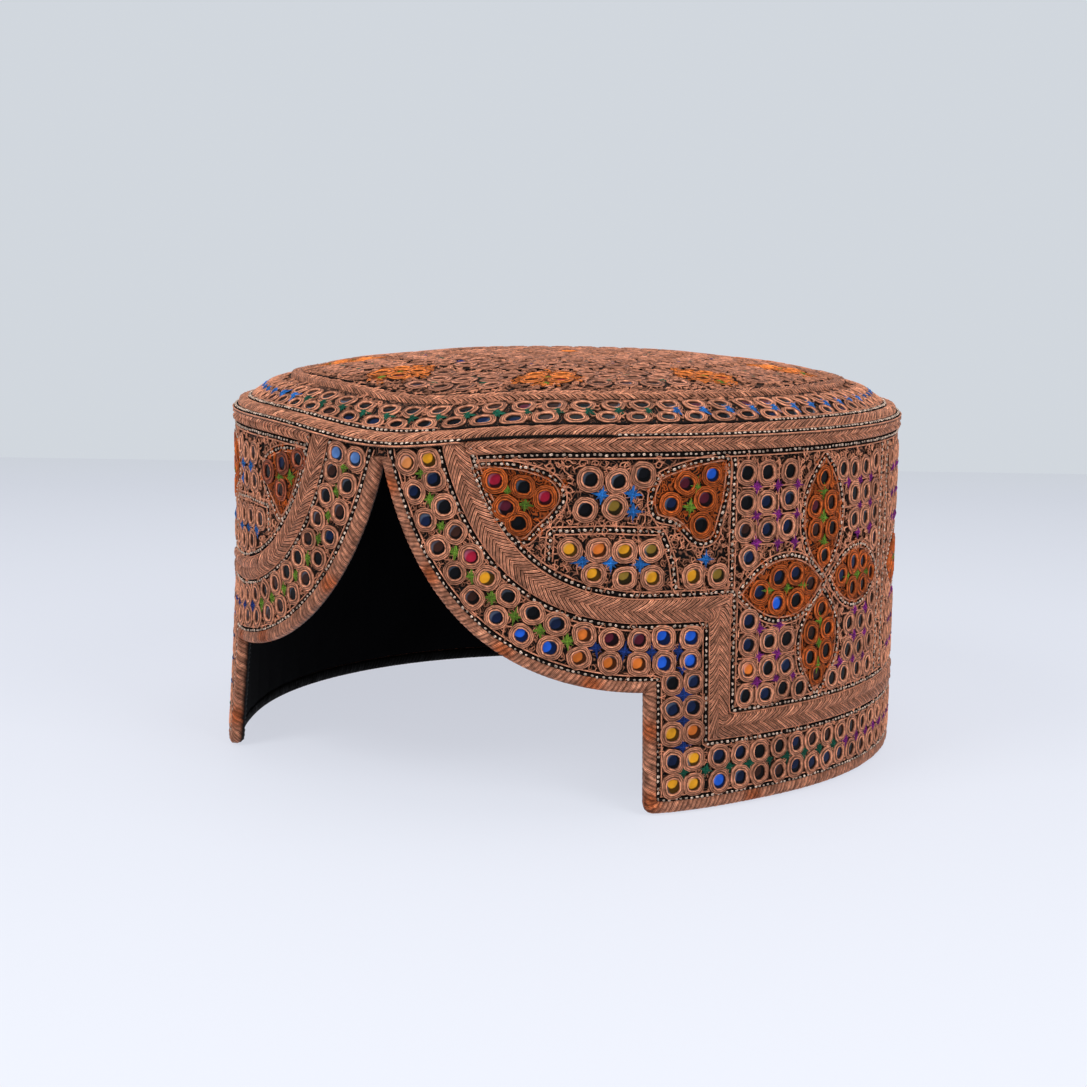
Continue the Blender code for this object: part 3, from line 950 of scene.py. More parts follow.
def thread_tubes(
    sheet: Sheet,
    paths: Array,
    width: float,
    height: float,
    tint: Array,
    lift: float = 0.0,
    section: int = 4,
) -> Surface:
    """Half-round threads laid along paths, with painted shade along their feet.

    Args:
        sheet: the surface below.
        paths: places (threads, stations, 2).
        width: the threads' full width.
        height: how far they stand up.
        tint: linear colours (threads, 3).
        lift: height of their foot.
        section: points over the half turn.

    Returns:
        All threads as one surface.
    """
    count, stations, _ = paths.shape
    side = sideways(paths)
    turn = np.linspace(0.0, math.pi, section)
    offset = 0.5 * width * np.cos(turn)
    places = paths[:, :, None, :] + side[:, :, None, :] * offset[None, None, :, None]
    taper = np.ones(stations)
    taper[[0, -1]] = 0.35
    raised = height * np.sin(turn)[None, None, :] * taper[None, :, None]
    points = sheet.point(places, lift + raised)
    starts = stations * section * np.arange(count)
    quads = grid_quads(stations, section)[None, :, ::-1] + starts[:, None, None]
    # painted shade: the tube's feet on the cloth are darkened
    shade = np.where(np.sin(turn) > 0.1, 1.0, 0.35)[None, None, :, None]
    colours = np.broadcast_to(tint[:, None, None, :] * shade, (count, stations, section, 3))
    down = np.linspace(0.0, 1.0, stations)[None, :, None] * stations * 0.8
    whole, across = (count, stations, section), np.linspace(0.0, 1.0, section)
    strand = pair(np.broadcast_to(across, whole), np.broadcast_to(down, whole))
    return Surface.flat(points, quads, NO_TRIS, colours, strand)


@dataclass
class CouchedLines:
    """Black lines with pale stitches on them, and a copper thread on each side."""

    sheet: Sheet
    pitch: float = 1.45 * MM
    cord_width: float = 1.2 * MM
    cord_height: float = 0.5 * MM
    beside: float = 0.9 * MM
    plain_share: float = 0.65
    side_width: float = 0.5 * MM
    side_tones: Range = (0.75, 1.05)
    station_step: float = 1.3 * MM
    dash_lift: float = 0.36 * MM
    dash_stray: float = 0.14 * MM
    dash_tones: Range = (0.5, 1.15)
    lines: list[Array] = field(default_factory=list)
    plain_lines: list[Array] = field(default_factory=list)

    def add(self, *lines: Array) -> None:
        """Take in lines of places that carry pale stitches."""
        self.lines.extend(lines)

    def add_plain(self, *lines: Array) -> None:
        """Take in lines of places that are a thin black cord alone."""
        self.plain_lines.extend(lines)

    def tubes(self, line: Array, offset: float, width: float, height: float, tint: Array) -> Surface:
        """A thread that keeps beside a line."""
        steps = max(3, int(run_lengths(line)[-1] / self.station_step))
        path = spaced(line, steps)
        path = path + offset * sideways(path)
        return thread_tubes(self.sheet, path[None], width, height, tint[None])

    def cords(self) -> list[Surface]:
        """Black cord of each line, thinner on the plain ones."""
        wide, thin, height = self.cord_width, self.plain_share * self.cord_width, self.cord_height
        cords = [self.tubes(line, 0.0, wide, height, Tint.SOOT.light) for line in self.lines]
        return cords + [self.tubes(line, 0.0, thin, height, Tint.SOOT.light) for line in self.plain_lines]

    def surfaces(self, rng: Rng) -> tuple[Surface, Surface, Surface]:
        """Black cords, pale stitches and the copper threads beside them."""
        dashes, threads = [], []
        stamp = dash_stamp()
        for line in self.lines:
            for side in (-1.0, 1.0):
                tint = Tint.COPPER.light * rng.uniform(*self.side_tones)
                offset, width = side * self.beside, self.side_width
                threads.append(self.tubes(line, offset, width, width, tint))
            reach = run_lengths(line)[-1]
            count = max(2, round(reach / self.pitch))
            stops = (np.arange(count) + 0.5) * reach / count
            stops = stops + rng.normal(0.0, self.dash_stray, count)
            here = places_at(line, stops)
            ahead = places_at(line, stops + 0.4 * MM) - places_at(line, stops - 0.4 * MM)
            turn = np.arctan2(ahead[:, 1], ahead[:, 0]) + rng.normal(0.0, 0.22, count)
            here = here + rng.normal(0.0, 0.5 * self.dash_stray, here.shape)
            size = rng.uniform([0.7, 0.75], [1.2, 1.2], (count, 2))
            tint = Tint.PALE.light * rng.uniform(*self.dash_tones, (count, 1))
            dashes.append(stamp.laid(self.sheet, here, tint, turn, size, lift=self.dash_lift))
        return Surface.joined(self.cords()), Surface.joined(dashes), Surface.joined(threads)


@dataclass(frozen=True)
class Meander:
    """Loose couched loops that fill the ground between mirrors and outlines."""

    spacing: float = 1.9 * MM
    length: float = 7.0 * MM
    stations: int = 10
    width: float = 0.5 * MM
    height: float = 0.45 * MM
    waves: Range = (5.5 * MM, 8.0 * MM)

    def paths(self, starts: Array, rng: Rng) -> Array:
        """Curves whose heading swings: first + 2.5 sin(k s + a) + 0.9 sin(2.3 k s + b).

        Args:
            starts: places where the threads begin.
            rng: source of headings and phases.

        Returns:
            Places (threads, stations, 2).
        """
        count = len(starts)
        s = np.linspace(0.0, self.length, self.stations)[None, :]
        first, a, b = rng.uniform(0.0, 2.0 * math.pi, (3, count, 1))
        wave = 2.0 * math.pi / rng.uniform(*self.waves, (count, 1))
        heading = first + 2.5 * np.sin(wave * s + a) + 0.9 * np.sin(2.3 * wave * s + b)
        step = polar(1.0, heading)
        step *= self.length / (self.stations - 1)
        path = starts[:, None, :] + np.cumsum(step, axis=1)
        return path - step.mean(axis=1, keepdims=True) * self.stations * 0.5

    def starts(self, low: Array, high: Array, rng: Rng) -> Array:
        """Jittered grid of places between two corners."""
        counts = np.maximum(1, ((high - low) / self.spacing).astype(int))
        grid = np.stack(np.meshgrid(*(np.arange(n) for n in counts), indexing="ij"), axis=-1)
        grid = grid.reshape(-1, 2) + rng.uniform(0.1, 0.9, (counts.prod(), 2))
        return low + grid * self.spacing


def clear_of(paths: Array, centres: Array, distance: float) -> Array:
    """Whether each path keeps a distance from all centres.

    Args:
        paths: places (threads, stations, 2).
        centres: places (n, 2).
        distance: smallest distance allowed.

    Returns:
        One truth value for each path.
    """
    tree = KDTree(len(centres))
    for number, (x, y) in enumerate(centres):
        tree.insert((x, y, 0.0), number)
    tree.balance()
    gaps = [[tree.find((x, y, 0.0))[2] for x, y in path] for path in paths]
    return np.array(gaps).min(axis=1) > distance


def patch(sheet: Sheet, loop: Array, tint: Array, height: float = 0.22 * MM) -> Surface:
    """Ground of one petal: rows that shrink from its outline to its middle, and a rim turned down.

    Args:
        sheet: the surface below.
        loop: closed outline.
        tint: linear colour.
        height: thickness of the ground.

    Returns:
        The patch.
    """
    rim = loop[:-1]
    middle = rim.mean(axis=0)
    shares = np.array([1.0, 0.97, 0.75, 0.5, 0.25])
    rows = middle + (rim[:, None, :] - middle) * shares[None, :, None]
    places = np.vstack([rows.reshape(-1, 2), middle[None]])
    heights = np.tile([-0.1 * MM] + [height] * 4, len(rim))
    heights = np.append(heights, height)
    quads = grid_quads(len(rim), 5, wrap=True)
    inner = 5 * np.arange(len(rim)) + 4
    hub = np.full(len(rim), 5 * len(rim))
    fan = np.stack([inner, np.roll(inner, -1), hub], axis=-1)
    turned = np.sum(rim[:, 0] * np.roll(rim[:, 1], -1) - np.roll(rim[:, 0], -1) * rim[:, 1])
    if turned < 0.0:
        quads, fan = quads[:, ::-1], fan[:, ::-1]
    tints = np.broadcast_to(tint, (len(places), 3))
    strand = places / (0.5 * MM)
    return Surface(sheet.point(places, heights), quads, fan, tints, strand)


# Finishes


@dataclass(frozen=True)
class NodeKit:
    """Short ways to add nodes and links to one node tree."""

    tree: NodeTree

    def add(self, kind: str, **values: object) -> Node:
        """A node with its properties set."""
        node = self.tree.nodes.new(kind)
        for key, value in values.items():
            setattr(node, key, value)
        return node

    def link(self, source: Socket, target: Socket) -> None:
        """Join two sockets."""
        self.tree.links.new(source, target)

    def math(self, operation: str, *values: object) -> Socket:
        """A Math node whose inputs are sockets or numbers; gives its output."""
        node = self.add("ShaderNodeMath", operation=operation)
        for socket, value in zip(node.inputs, values):
            if isinstance(value, Socket):
                self.link(value, socket)
            else:
                socket.default_value = value
        return node.outputs[0]

    def plus(self, base: object, value: Socket, factor: object) -> Socket:
        """A base and a number times its factor."""
        return self.math("ADD", base, self.math("MULTIPLY", value, factor))

    def clamped(self, value: Socket) -> Socket:
        """A number held between 0 and 1."""
        return self.math("MINIMUM", self.math("MAXIMUM", value, 0.0), 1.0)

    def vector(self, operation: str, *values: object) -> Node:
        """A Vector Math node whose first inputs are sockets or triples."""
        node = self.add("ShaderNodeVectorMath", operation=operation)
        for socket, value in zip(node.inputs, values):
            if isinstance(value, Socket):
                self.link(value, socket)
            else:
                socket.default_value = value
        return node

    def scaled(self, colour: object, factor: Socket) -> Socket:
        """A colour times a number that changes over the surface."""
        node = self.vector("SCALE", colour)
        self.link(factor, node.inputs["Scale"])
        return node.outputs["Vector"]

    def noise(self, scale: float, detail: float = 2.0, vector: object = None) -> Socket:
        """Noise on object coordinates, or on another vector; gives its factor."""
        node = self.add("ShaderNodeTexNoise")
        node.inputs["Scale"].default_value = scale
        node.inputs["Detail"].default_value = detail
        if vector is None:
            vector = self.add("ShaderNodeTexCoord").outputs["Object"]
        self.link(vector, node.inputs["Vector"])
        return node.outputs["Fac"]


def new_group(name: str, inputs: dict[str, float], outputs: dict[str, str]) -> NodeKit:
    """A shader node group with number inputs and given outputs.

    Args:
        name: the group's name.
        inputs: input names and their values.
        outputs: output names and their socket types.

    Returns:
        A kit on the group's tree, which holds its Group Input and Group Output.
    """
    tree = bpy.data.node_groups.new(name, "ShaderNodeTree")
    for key, value in inputs.items():
        socket = tree.interface.new_socket(key, in_out="INPUT", socket_type="NodeSocketFloat")
        socket.default_value = value
    for key, kind in outputs.items():
        tree.interface.new_socket(key, in_out="OUTPUT", socket_type=kind)
    kit = NodeKit(tree)
    kit.add("NodeGroupInput", name="entry")
    kit.add("NodeGroupOutput", name="exit")
    return kit


def strands_group() -> NodeTree:
    """Threads side by side: the height is |sin(pi u)| of the strand count, plus twist and fuzz.

    The shade is painted: darker between the strands, lighter on their crests and twist, with
    streaks of painted highlight at random along them.
    """
    numbers = {"Twist": 0.35, "Fuzz": 0.3, "Fuzz Scale": 2600.0}
    kit = new_group("thread_strands", numbers, {"Height": "NodeSocketFloat", "Shade": "NodeSocketFloat"})
    entry, leave = kit.tree.nodes["entry"], kit.tree.nodes["exit"]
    uv = kit.add("ShaderNodeUVMap", uv_map="UVMap")
    parts = kit.add("ShaderNodeSeparateXYZ")
    kit.link(uv.outputs[0], parts.inputs[0])
    u, v = parts.outputs[0], parts.outputs[1]
    strand = kit.math("ABSOLUTE", kit.math("SINE", kit.math("MULTIPLY", u, math.pi)))
    lay = kit.plus(kit.math("MULTIPLY", v, 9.0), u, 5.0)
    twist = kit.math("ABSOLUTE", kit.math("SINE", lay))
    fuzz = kit.add("ShaderNodeTexNoise")
    kit.link(kit.add("ShaderNodeTexCoord").outputs["Object"], fuzz.inputs["Vector"])
    kit.link(entry.outputs["Fuzz Scale"], fuzz.inputs["Scale"])
    height = kit.plus(strand, twist, entry.outputs["Twist"])
    height = kit.plus(height, fuzz.outputs["Fac"], entry.outputs["Fuzz"])
    kit.link(height, leave.inputs["Height"])
    along = kit.add("ShaderNodeCombineXYZ")
    kit.link(kit.math("MULTIPLY", u, 2.0), along.inputs[0])
    kit.link(kit.math("MULTIPLY", v, 0.45), along.inputs[1])
    streak = kit.math("SUBTRACT", kit.noise(1.3, 2.0, along.outputs[0]), 0.5)
    cloud = kit.math("SUBTRACT", kit.noise(900.0, 3.0), 0.5)
    # painted shade: darker between strands, lighter on their crests and the twist
    shade = kit.plus(0.08, strand, 1.1)
    shade = kit.plus(shade, twist, 0.12)
    # painted highlights: brighter and darker streaks at random along the strands
    light = kit.plus(kit.math("MULTIPLY", streak, 1.7), cloud, 1.9)
    light = kit.math("MAXIMUM", kit.math("ADD", 1.0, light), 0.2)
    shade = kit.math("MULTIPLY", shade, light)
    kit.link(shade, leave.inputs["Shade"])
    return kit.tree


def loops_group() -> NodeTree:
    """Couched loops seen as a pattern: level lines of a noise, each one a round thread."""
    numbers = {"Scale": 330.0, "Lines": 9.0, "Gap": 0.42}
    kit = new_group("couched_loops", numbers, {"Height": "NodeSocketFloat", "Mask": "NodeSocketFloat"})
    entry, leave = kit.tree.nodes["entry"], kit.tree.nodes["exit"]
    noise = kit.add("ShaderNodeTexNoise")
    noise.inputs["Detail"].default_value = 1.0
    kit.link(kit.add("ShaderNodeTexCoord").outputs["Object"], noise.inputs["Vector"])
    kit.link(entry.outputs["Scale"], noise.inputs["Scale"])
    level = kit.math("MULTIPLY", noise.outputs["Fac"], entry.outputs["Lines"])
    line = kit.math("PINGPONG", level, 0.5)
    over_gap = kit.math("SUBTRACT", line, kit.math("MULTIPLY", entry.outputs["Gap"], 0.5))
    mask = kit.clamped(kit.math("MULTIPLY", over_gap, 5.0))
    kit.link(mask, leave.inputs["Mask"])
    kit.link(mask, leave.inputs["Height"])
    return kit.tree


class Groups:
    """The shared node groups, each built once."""

    def __init__(self) -> None:
        """Build all groups."""
        self.strands = strands_group()
        self.loops = loops_group()


def start_material(name: str) -> tuple[Material, NodeKit, Node]:
    """A material with its tree's kit and its Principled shader."""
    material = bpy.data.materials.new(name)
    material.use_nodes = True
    kit = NodeKit(material.node_tree)
    return material, kit, material.node_tree.nodes["Principled BSDF"]


def bump(kit: NodeKit, height: Socket, depth: float, shader: Node) -> None:
    """Feed a height to the shader's normal, depth metres for a height of one."""
    node = kit.add("ShaderNodeBump")
    set_inputs(node, Strength=1.0, Distance=depth)
    kit.link(height, node.inputs["Height"])
    kit.link(node.outputs["Normal"], shader.inputs["Normal"])


def set_inputs(node: Node, **values: object) -> None:
    """Set a node's inputs; an underscore in a name stands for a space."""
    for name, value in values.items():
        node.inputs[name.replace("_", " ")].default_value = value


@dataclass(frozen=True)
class ThreadFinish:
    """Twisted floss: the colour is the surface's own tint, with painted shade strand by strand."""

    name: str
    groups: Groups
    roughness: float = 0.42
    depth: float = 0.22 * MM
    twist: float = 0.35
    metallic: float = 0.3
    specular: float = 0.2

    def build(self) -> Material:
        """Make the material."""
        material, kit, shader = start_material(self.name)
        group = kit.add("ShaderNodeGroup", node_tree=self.groups.strands)
        group.inputs["Twist"].default_value = self.twist
        tint = kit.add("ShaderNodeAttribute", attribute_name="tint")
        # the base colour carries the painted shade and highlights of the strands
        kit.link(kit.scaled(tint.outputs["Color"], group.outputs["Shade"]), shader.inputs["Base Color"])
        rough = kit.plus(self.roughness, kit.noise(900.0), 0.16)
        kit.link(rough, shader.inputs["Roughness"])
        set_inputs(shader, Specular_IOR_Level=self.specular, Metallic=self.metallic)
        bump(kit, group.outputs["Height"], self.depth, shader)
        return material


@dataclass(frozen=True)
class GroundFinish:
    """Black cotton almost covered with couched copper loops."""

    name: str
    groups: Groups
    thread: Tint = Tint.COPPER
    gap: float = 0.56

    def build(self) -> Material:
        """Make the material."""
        material, kit, shader = start_material(self.name)
        group = kit.add("ShaderNodeGroup", node_tree=self.groups.loops)
        group.inputs["Gap"].default_value = self.gap
        mix = kit.add("ShaderNodeMix", data_type="RGBA")
        kit.link(group.outputs["Mask"], mix.inputs[0])
        mix.inputs[6].default_value = (*(Tint.SOOT.light * 0.6), 1.0)
        mix.inputs[7].default_value = (*(self.thread.light * 0.55), 1.0)
        shade = kit.plus(0.4, kit.noise(900.0), 1.1)
        kit.link(kit.scaled(mix.outputs[2], shade), shader.inputs["Base Color"])
        set_inputs(shader, Roughness=0.62, Specular_IOR_Level=0.1)
        grain = kit.math("MULTIPLY", kit.noise(3200.0), 0.25)
        bump(kit, kit.math("ADD", group.outputs["Height"], grain), 0.3 * MM, shader)
        return material


@dataclass(frozen=True)
class MirrorFinish:
    """Foiled glass with painted shade and painted reflection.

    It is painted dark where it would mirror the far side of its ring, and it has a painted pale
    gleam by the upper-left rim.
    """

    name: str
    roughness: float = 0.1
    lit_middle: tuple[float, float, float] = (-0.3, 0.27, 0.0)
    lit_reach: float = 0.92
    gleam_shift: tuple[float, float, float] = (-0.3, 0.3, 0.0)
    gleam_reach: float = 1.12
    gleam_colour: tuple[float, float, float] = (0.11, 0.14, 0.19)

    def build(self) -> Material:
        """Make the material: a circle set off to the upper left keeps the colour, and the rest is painted
        dark as shade and reflection.
        """
        material, kit, shader = start_material(self.name)
        tint = kit.add("ShaderNodeAttribute", attribute_name="tint")
        uv = kit.add("ShaderNodeUVMap", uv_map="UVMap")
        # painted shade and reflection: the glass outside a circle set to the upper left is darkened
        shift = kit.vector("SUBTRACT", uv.outputs[0], self.lit_middle)
        length = kit.vector("LENGTH", shift.outputs[0])
        edge = kit.math("MULTIPLY", kit.math("SUBTRACT", self.lit_reach, length.outputs["Value"]), 7.0)
        lit = kit.clamped(edge)
        shade = kit.plus(0.08, lit, 0.92)
        cloud = kit.plus(0.35, kit.noise(330.0), 1.3)
        colour = kit.scaled(tint.outputs["Color"], kit.math("MULTIPLY", shade, cloud))
        # painted highlight: a pale gleam near the upper-left rim, a painted reflection of the room
        far = kit.vector("LENGTH", kit.vector("ADD", uv.outputs[0], self.gleam_shift).outputs[0])
        gleam = kit.math("SUBTRACT", far.outputs["Value"], self.gleam_reach)
        gleam = kit.clamped(kit.math("MULTIPLY", gleam, 4.0))
        painted_gleam = kit.scaled(self.gleam_colour, kit.math("MULTIPLY", gleam, kit.noise(260.0)))
        kit.link(kit.vector("ADD", colour, painted_gleam).outputs["Vector"], shader.inputs["Base Color"])
        rough = kit.plus(self.roughness, kit.noise(500.0), 0.16)
        kit.link(rough, shader.inputs["Roughness"])
        set_inputs(shader, Specular_IOR_Level=0.07)
        bump(kit, kit.noise(420.0, 0.0), 0.12 * MM, shader)
        return material


@dataclass(frozen=True)
class VelvetFinish:
    """Black velvet: no gloss, a faint sheen where the pile turns away."""

    name: str = "black_velvet"

    def build(self) -> Material:
        """Make the material."""
        material, kit, shader = start_material(self.name)
        ramp = kit.add("ShaderNodeValToRGB")
        ramp.color_ramp.elements[0].color = (0.0008, 0.0008, 0.001, 1.0)
        ramp.color_ramp.elements[1].color = (0.003, 0.003, 0.0038, 1.0)
        kit.link(kit.noise(60.0, 4.0), ramp.inputs[0])
        kit.link(ramp.outputs[0], shader.inputs["Base Color"])
        set_inputs(shader, Roughness=0.95, Specular_IOR_Level=0.03, Sheen_Weight=0.01)
        bump(kit, kit.noise(5200.0), 0.12 * MM, shader)
        return material


@dataclass
class Finishes:
    """All materials of the cap."""

    groups: Groups = field(default_factory=Groups)

    def __post_init__(self) -> None:
        """Build each material once."""
        groups = self.groups
        self.braid = ThreadFinish("copper_floss_braid", groups, depth=0.3 * MM).build()
        self.rings = ThreadFinish("couched_ring_thread", groups, depth=0.34 * MM).build()
        self.loops = ThreadFinish("couched_loop_thread", groups, twist=0.8).build()
        self.pale = ThreadFinish("pale_stitch_thread", groups, metallic=0.0).build()
        self.black = ThreadFinish("black_couched_cord", groups, 0.75, metallic=0.0, specular=0.08).build()
        self.star = ThreadFinish("coloured_star_thread", groups, 0.5, metallic=0.1).build()
        self.ground = GroundFinish("couched_copper_ground", self.groups).build()
        self.petal = GroundFinish("couched_orange_ground", self.groups, Tint.ORANGE, 0.3).build()
        self.mirror = MirrorFinish("foiled_mirror_glass").build()
        self.velvet = VelvetFinish().build()


def add_piece(
    surface: Surface,
    name: str,
    material: Material,
    replaced: tuple[str, ...] = (),
) -> None:
    """Make a piece that rides on the cap, and report it.

    Args:
        surface: its mesh.
        name: its name.
        material: its finish.
        replaced: CAD nodes that it stands for.
    """
    item = surface.to_object(name, material)
    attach(item, BODY)
    if replaced:
        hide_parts(*replaced)
    count = sum(len(face.vertices) - 2 for face in item.data.polygons)
    LOG.info("%s: %d triangles", item.name, count)


# Sub-assemblies


@dataclass
class Binding:
    """Rolled edge, whipped over with thread, round the rim, the steps and the arch."""

    finishes: Finishes
    width: float = 3.5 * MM
    outer: float = 0.62 * MM
    inner: float = -3.1 * MM
    pitch: float = 1.25 * MM
    slant_stitches: int = 5
    sides: int = 12
    orange_at: Pairs = (
        (2.5, 77.0), (13.0, 56.0), (31.0, 39.0), (52.0, 31.5), (66.0, 20.0), (66.0, 3.0),
        (95.0, 1.0), (-16.0, 51.0), (-45.0, 33.5), (-62.0, 30.0), (-66.0, 8.0), (250.0, 1.0),
        (-150.0, 1.0),
    )

    def build(self) -> None:
        """Make the binding: a rounded section carried round the edge, with slanting ridges."""
        turn = np.arange(self.sides) * 2.0 * math.pi / self.sides
        roundness = 0.78
        east, north = np.cos(turn), np.sin(turn)
        across = 0.5 + 0.5 * np.sign(east) * np.abs(east) ** roundness
        middle, half = 0.5 * (self.outer + self.inner), 0.5 * (self.outer - self.inner)
        lift = middle + half * np.sign(north) * np.abs(north) ** roundness
        lean = -self.slant_stitches * self.pitch * turn / (2.0 * math.pi)
        band = (0.0, self.width)
        near, far = (as_run(OPENING.line(inset, band=band)) for inset in band)
        loop = run_lengths(0.5 * (near + far))[-1]
        pitch = loop / round(loop / self.pitch)
        lean = lean * pitch / self.pitch
        # The lean makes one whole stitch per slant step over a turn, so the section stays closed.
        stitches = Stitching(
            pitch,
            across,
            lift,
            lean,
            np.ones(self.sides),
            ridge=0.2 * MM,
            painted_groove_light=0.4,
            strands=4,
            closed_section=True,
        )
        patches = np.array(self.orange_at) * MM
        patches[:, 0] %= 2.0 * WALL.half_turn
        rng = np.random.default_rng(SEED)
        surface = stitches.carry(WALL, near, far, True, rng, Tint.COPPER.light, patches)
        # The velvet is turned over the binding's inner side.
        paint = surface.tint.reshape(-1, self.sides, 3)
        paint[:, north < -0.2] = 0.4 * Tint.SOOT.light
        surface.tint = paint.reshape(-1, 3)
        surface = self.closed_helix(surface)
        add_piece(surface, "whipped_edge_binding", self.finishes.braid, ("edge_binding",))

    def closed_helix(self, surface: Surface) -> Surface:
        """Join the last row to the first one, slant_stitches further on.

        Args:
            surface: the tube, whose last column of faces joins rows of the same station.

        Returns:
            The tube with that column moved on, so that every ridge runs on round the edge.
        """
        stations = len(surface.points) // self.sides
        shift = self.slant_stitches * 4
        quads = surface.quads.reshape(stations, self.sides, 4).copy()
        station = np.arange(stations)
        first = (station - shift) % stations * self.sides
        after = (station + 1 - shift) % stations * self.sides
        quads[:, -1, 3] = first
        quads[:, -1, 2] = after
        surface.quads = quads.reshape(-1, 4)[:, ::-1]
        return surface


@dataclass
class Braids:
    """The flat plaits on the wall and the crown, and the thick braid on the shoulder.

    A plait's numbers are its pitch, lean and rise. The cord's are those of the thick braid, whose
    section is an arch on its foot. Gains are factors on the thread's colour.
    """

    finishes: Finishes
    border_inset: float = 16.5 * MM
    border_width: float = 6.0 * MM
    band_drop: float = 0.2 * MM
    band_width: float = 3.5 * MM
    band_gap: float = 0.3 * MM
    crown_radius: float = 75.8 * MM
    crown_width: float = 3.4 * MM
    shoulder_upper: float = -1.95 * MM
    shoulder_lower: float = 1.6 * MM
    border_plait: tuple[float, ...] = (1.2 * MM, 4.3 * MM, 0.8 * MM)
    band_plait: tuple[float, ...] = (1.45 * MM, 3.2 * MM, 0.85 * MM)
    crown_plait: tuple[float, ...] = (1.3 * MM, 4.6 * MM, 0.75 * MM)
    cord_pitch: float = 1.9 * MM
    cord_lean: float = 7.5 * MM
    cord_foot: float = -0.75 * MM
    cord_rise: float = 1.6 * MM
    cord_ridge: float = 0.45 * MM
    band_gain: float = 1.2
    cord_gain: float = 1.12
    crown_gain: float = 1.08

    def build(self) -> None:
        """Make all braids."""
        self.border()
        self.shoulder_band()
        self.shoulder()
        self.crown()

    def add(self, surface: Surface, name: str, node: str) -> None:
        """Make one braid, which stands for a CAD node."""
        add_piece(surface, name, self.finishes.braid, (node,))

    def border(self) -> None:
        """Plait that follows the arch, the step and the rim."""
        band = (self.border_inset, self.border_inset + self.border_width)
        near, far = (as_run(OPENING.line(inset, self.band_drop, band)) for inset in band)
        stitches = plait(*self.border_plait, strands=2)
        rng = np.random.default_rng(SEED + 1)
        surface = stitches.carry(WALL, near, far, False, rng, Tint.COPPER.light)
        self.add(surface, "border_chevron_plait", "border_braid")

    def shoulder_band(self) -> None:
        """Plait under the shoulder, from one side of the arch round the back to the other."""
        beside = self.border_inset + self.border_width + self.band_gap
        drops = (self.band_drop + self.band_width, self.band_drop)
        start = OPENING.line(beside, drops[1])[0, 0]
        along = np.linspace(start, 2.0 * WALL.half_turn - start, 300)
        near, far = (pair(along, WALL.shoulder(along) - drop) for drop in drops)
        rng = np.random.default_rng(SEED + 2)
        stitches = plait(*self.band_plait, rows=3, strands=2)
        surface = stitches.carry(WALL, near, far, False, rng, self.band_gain * Tint.COPPER.light)
        self.add(surface, "shoulder_chevron_plait", "shoulder_chevron_braid")

    def shoulder(self) -> None:
        """Thick braid on the seam, of long strands that cross at a flat angle."""
        along = np.linspace(0.0, 2.0 * WALL.half_turn, 361)
        near = level(along, self.shoulder_lower)
        far = level(along, self.shoulder_upper)
        w = np.linspace(-1.0, 1.0, 9)
        share, arch = 0.5 * (w + 1.0), np.sqrt(np.clip(1.0 - w**2, 0.0, 1.0))
        lift, lean = self.cord_foot + self.cord_rise * arch, self.cord_lean * share
        swell = 0.3 + 0.7 * arch
        stitches = Stitching(self.cord_pitch, share, lift, lean, swell, ridge=self.cord_ridge)
        rng = np.random.default_rng(SEED + 3)
        surface = stitches.carry(SHOULDER, near, far, True, rng, self.cord_gain * Tint.COPPER.light)
        self.add(surface, "satin_shoulder_braid", "shoulder_braid")

    def crown(self) -> None:
        """Satin plait in a ring on the crown."""
        outer = circle(self.crown_radius + 0.5 * self.crown_width, 360)
        inner = circle(self.crown_radius - 0.5 * self.crown_width, 360)
        rng = np.random.default_rng(SEED + 4)
        stitches = plait(*self.crown_plait, rows=3, strands=2)
        surface = stitches.carry(CROWN, outer, inner, True, rng, self.crown_gain * Tint.COPPER.light)
        self.add(surface, "satin_crown_plait", "crown_braid")


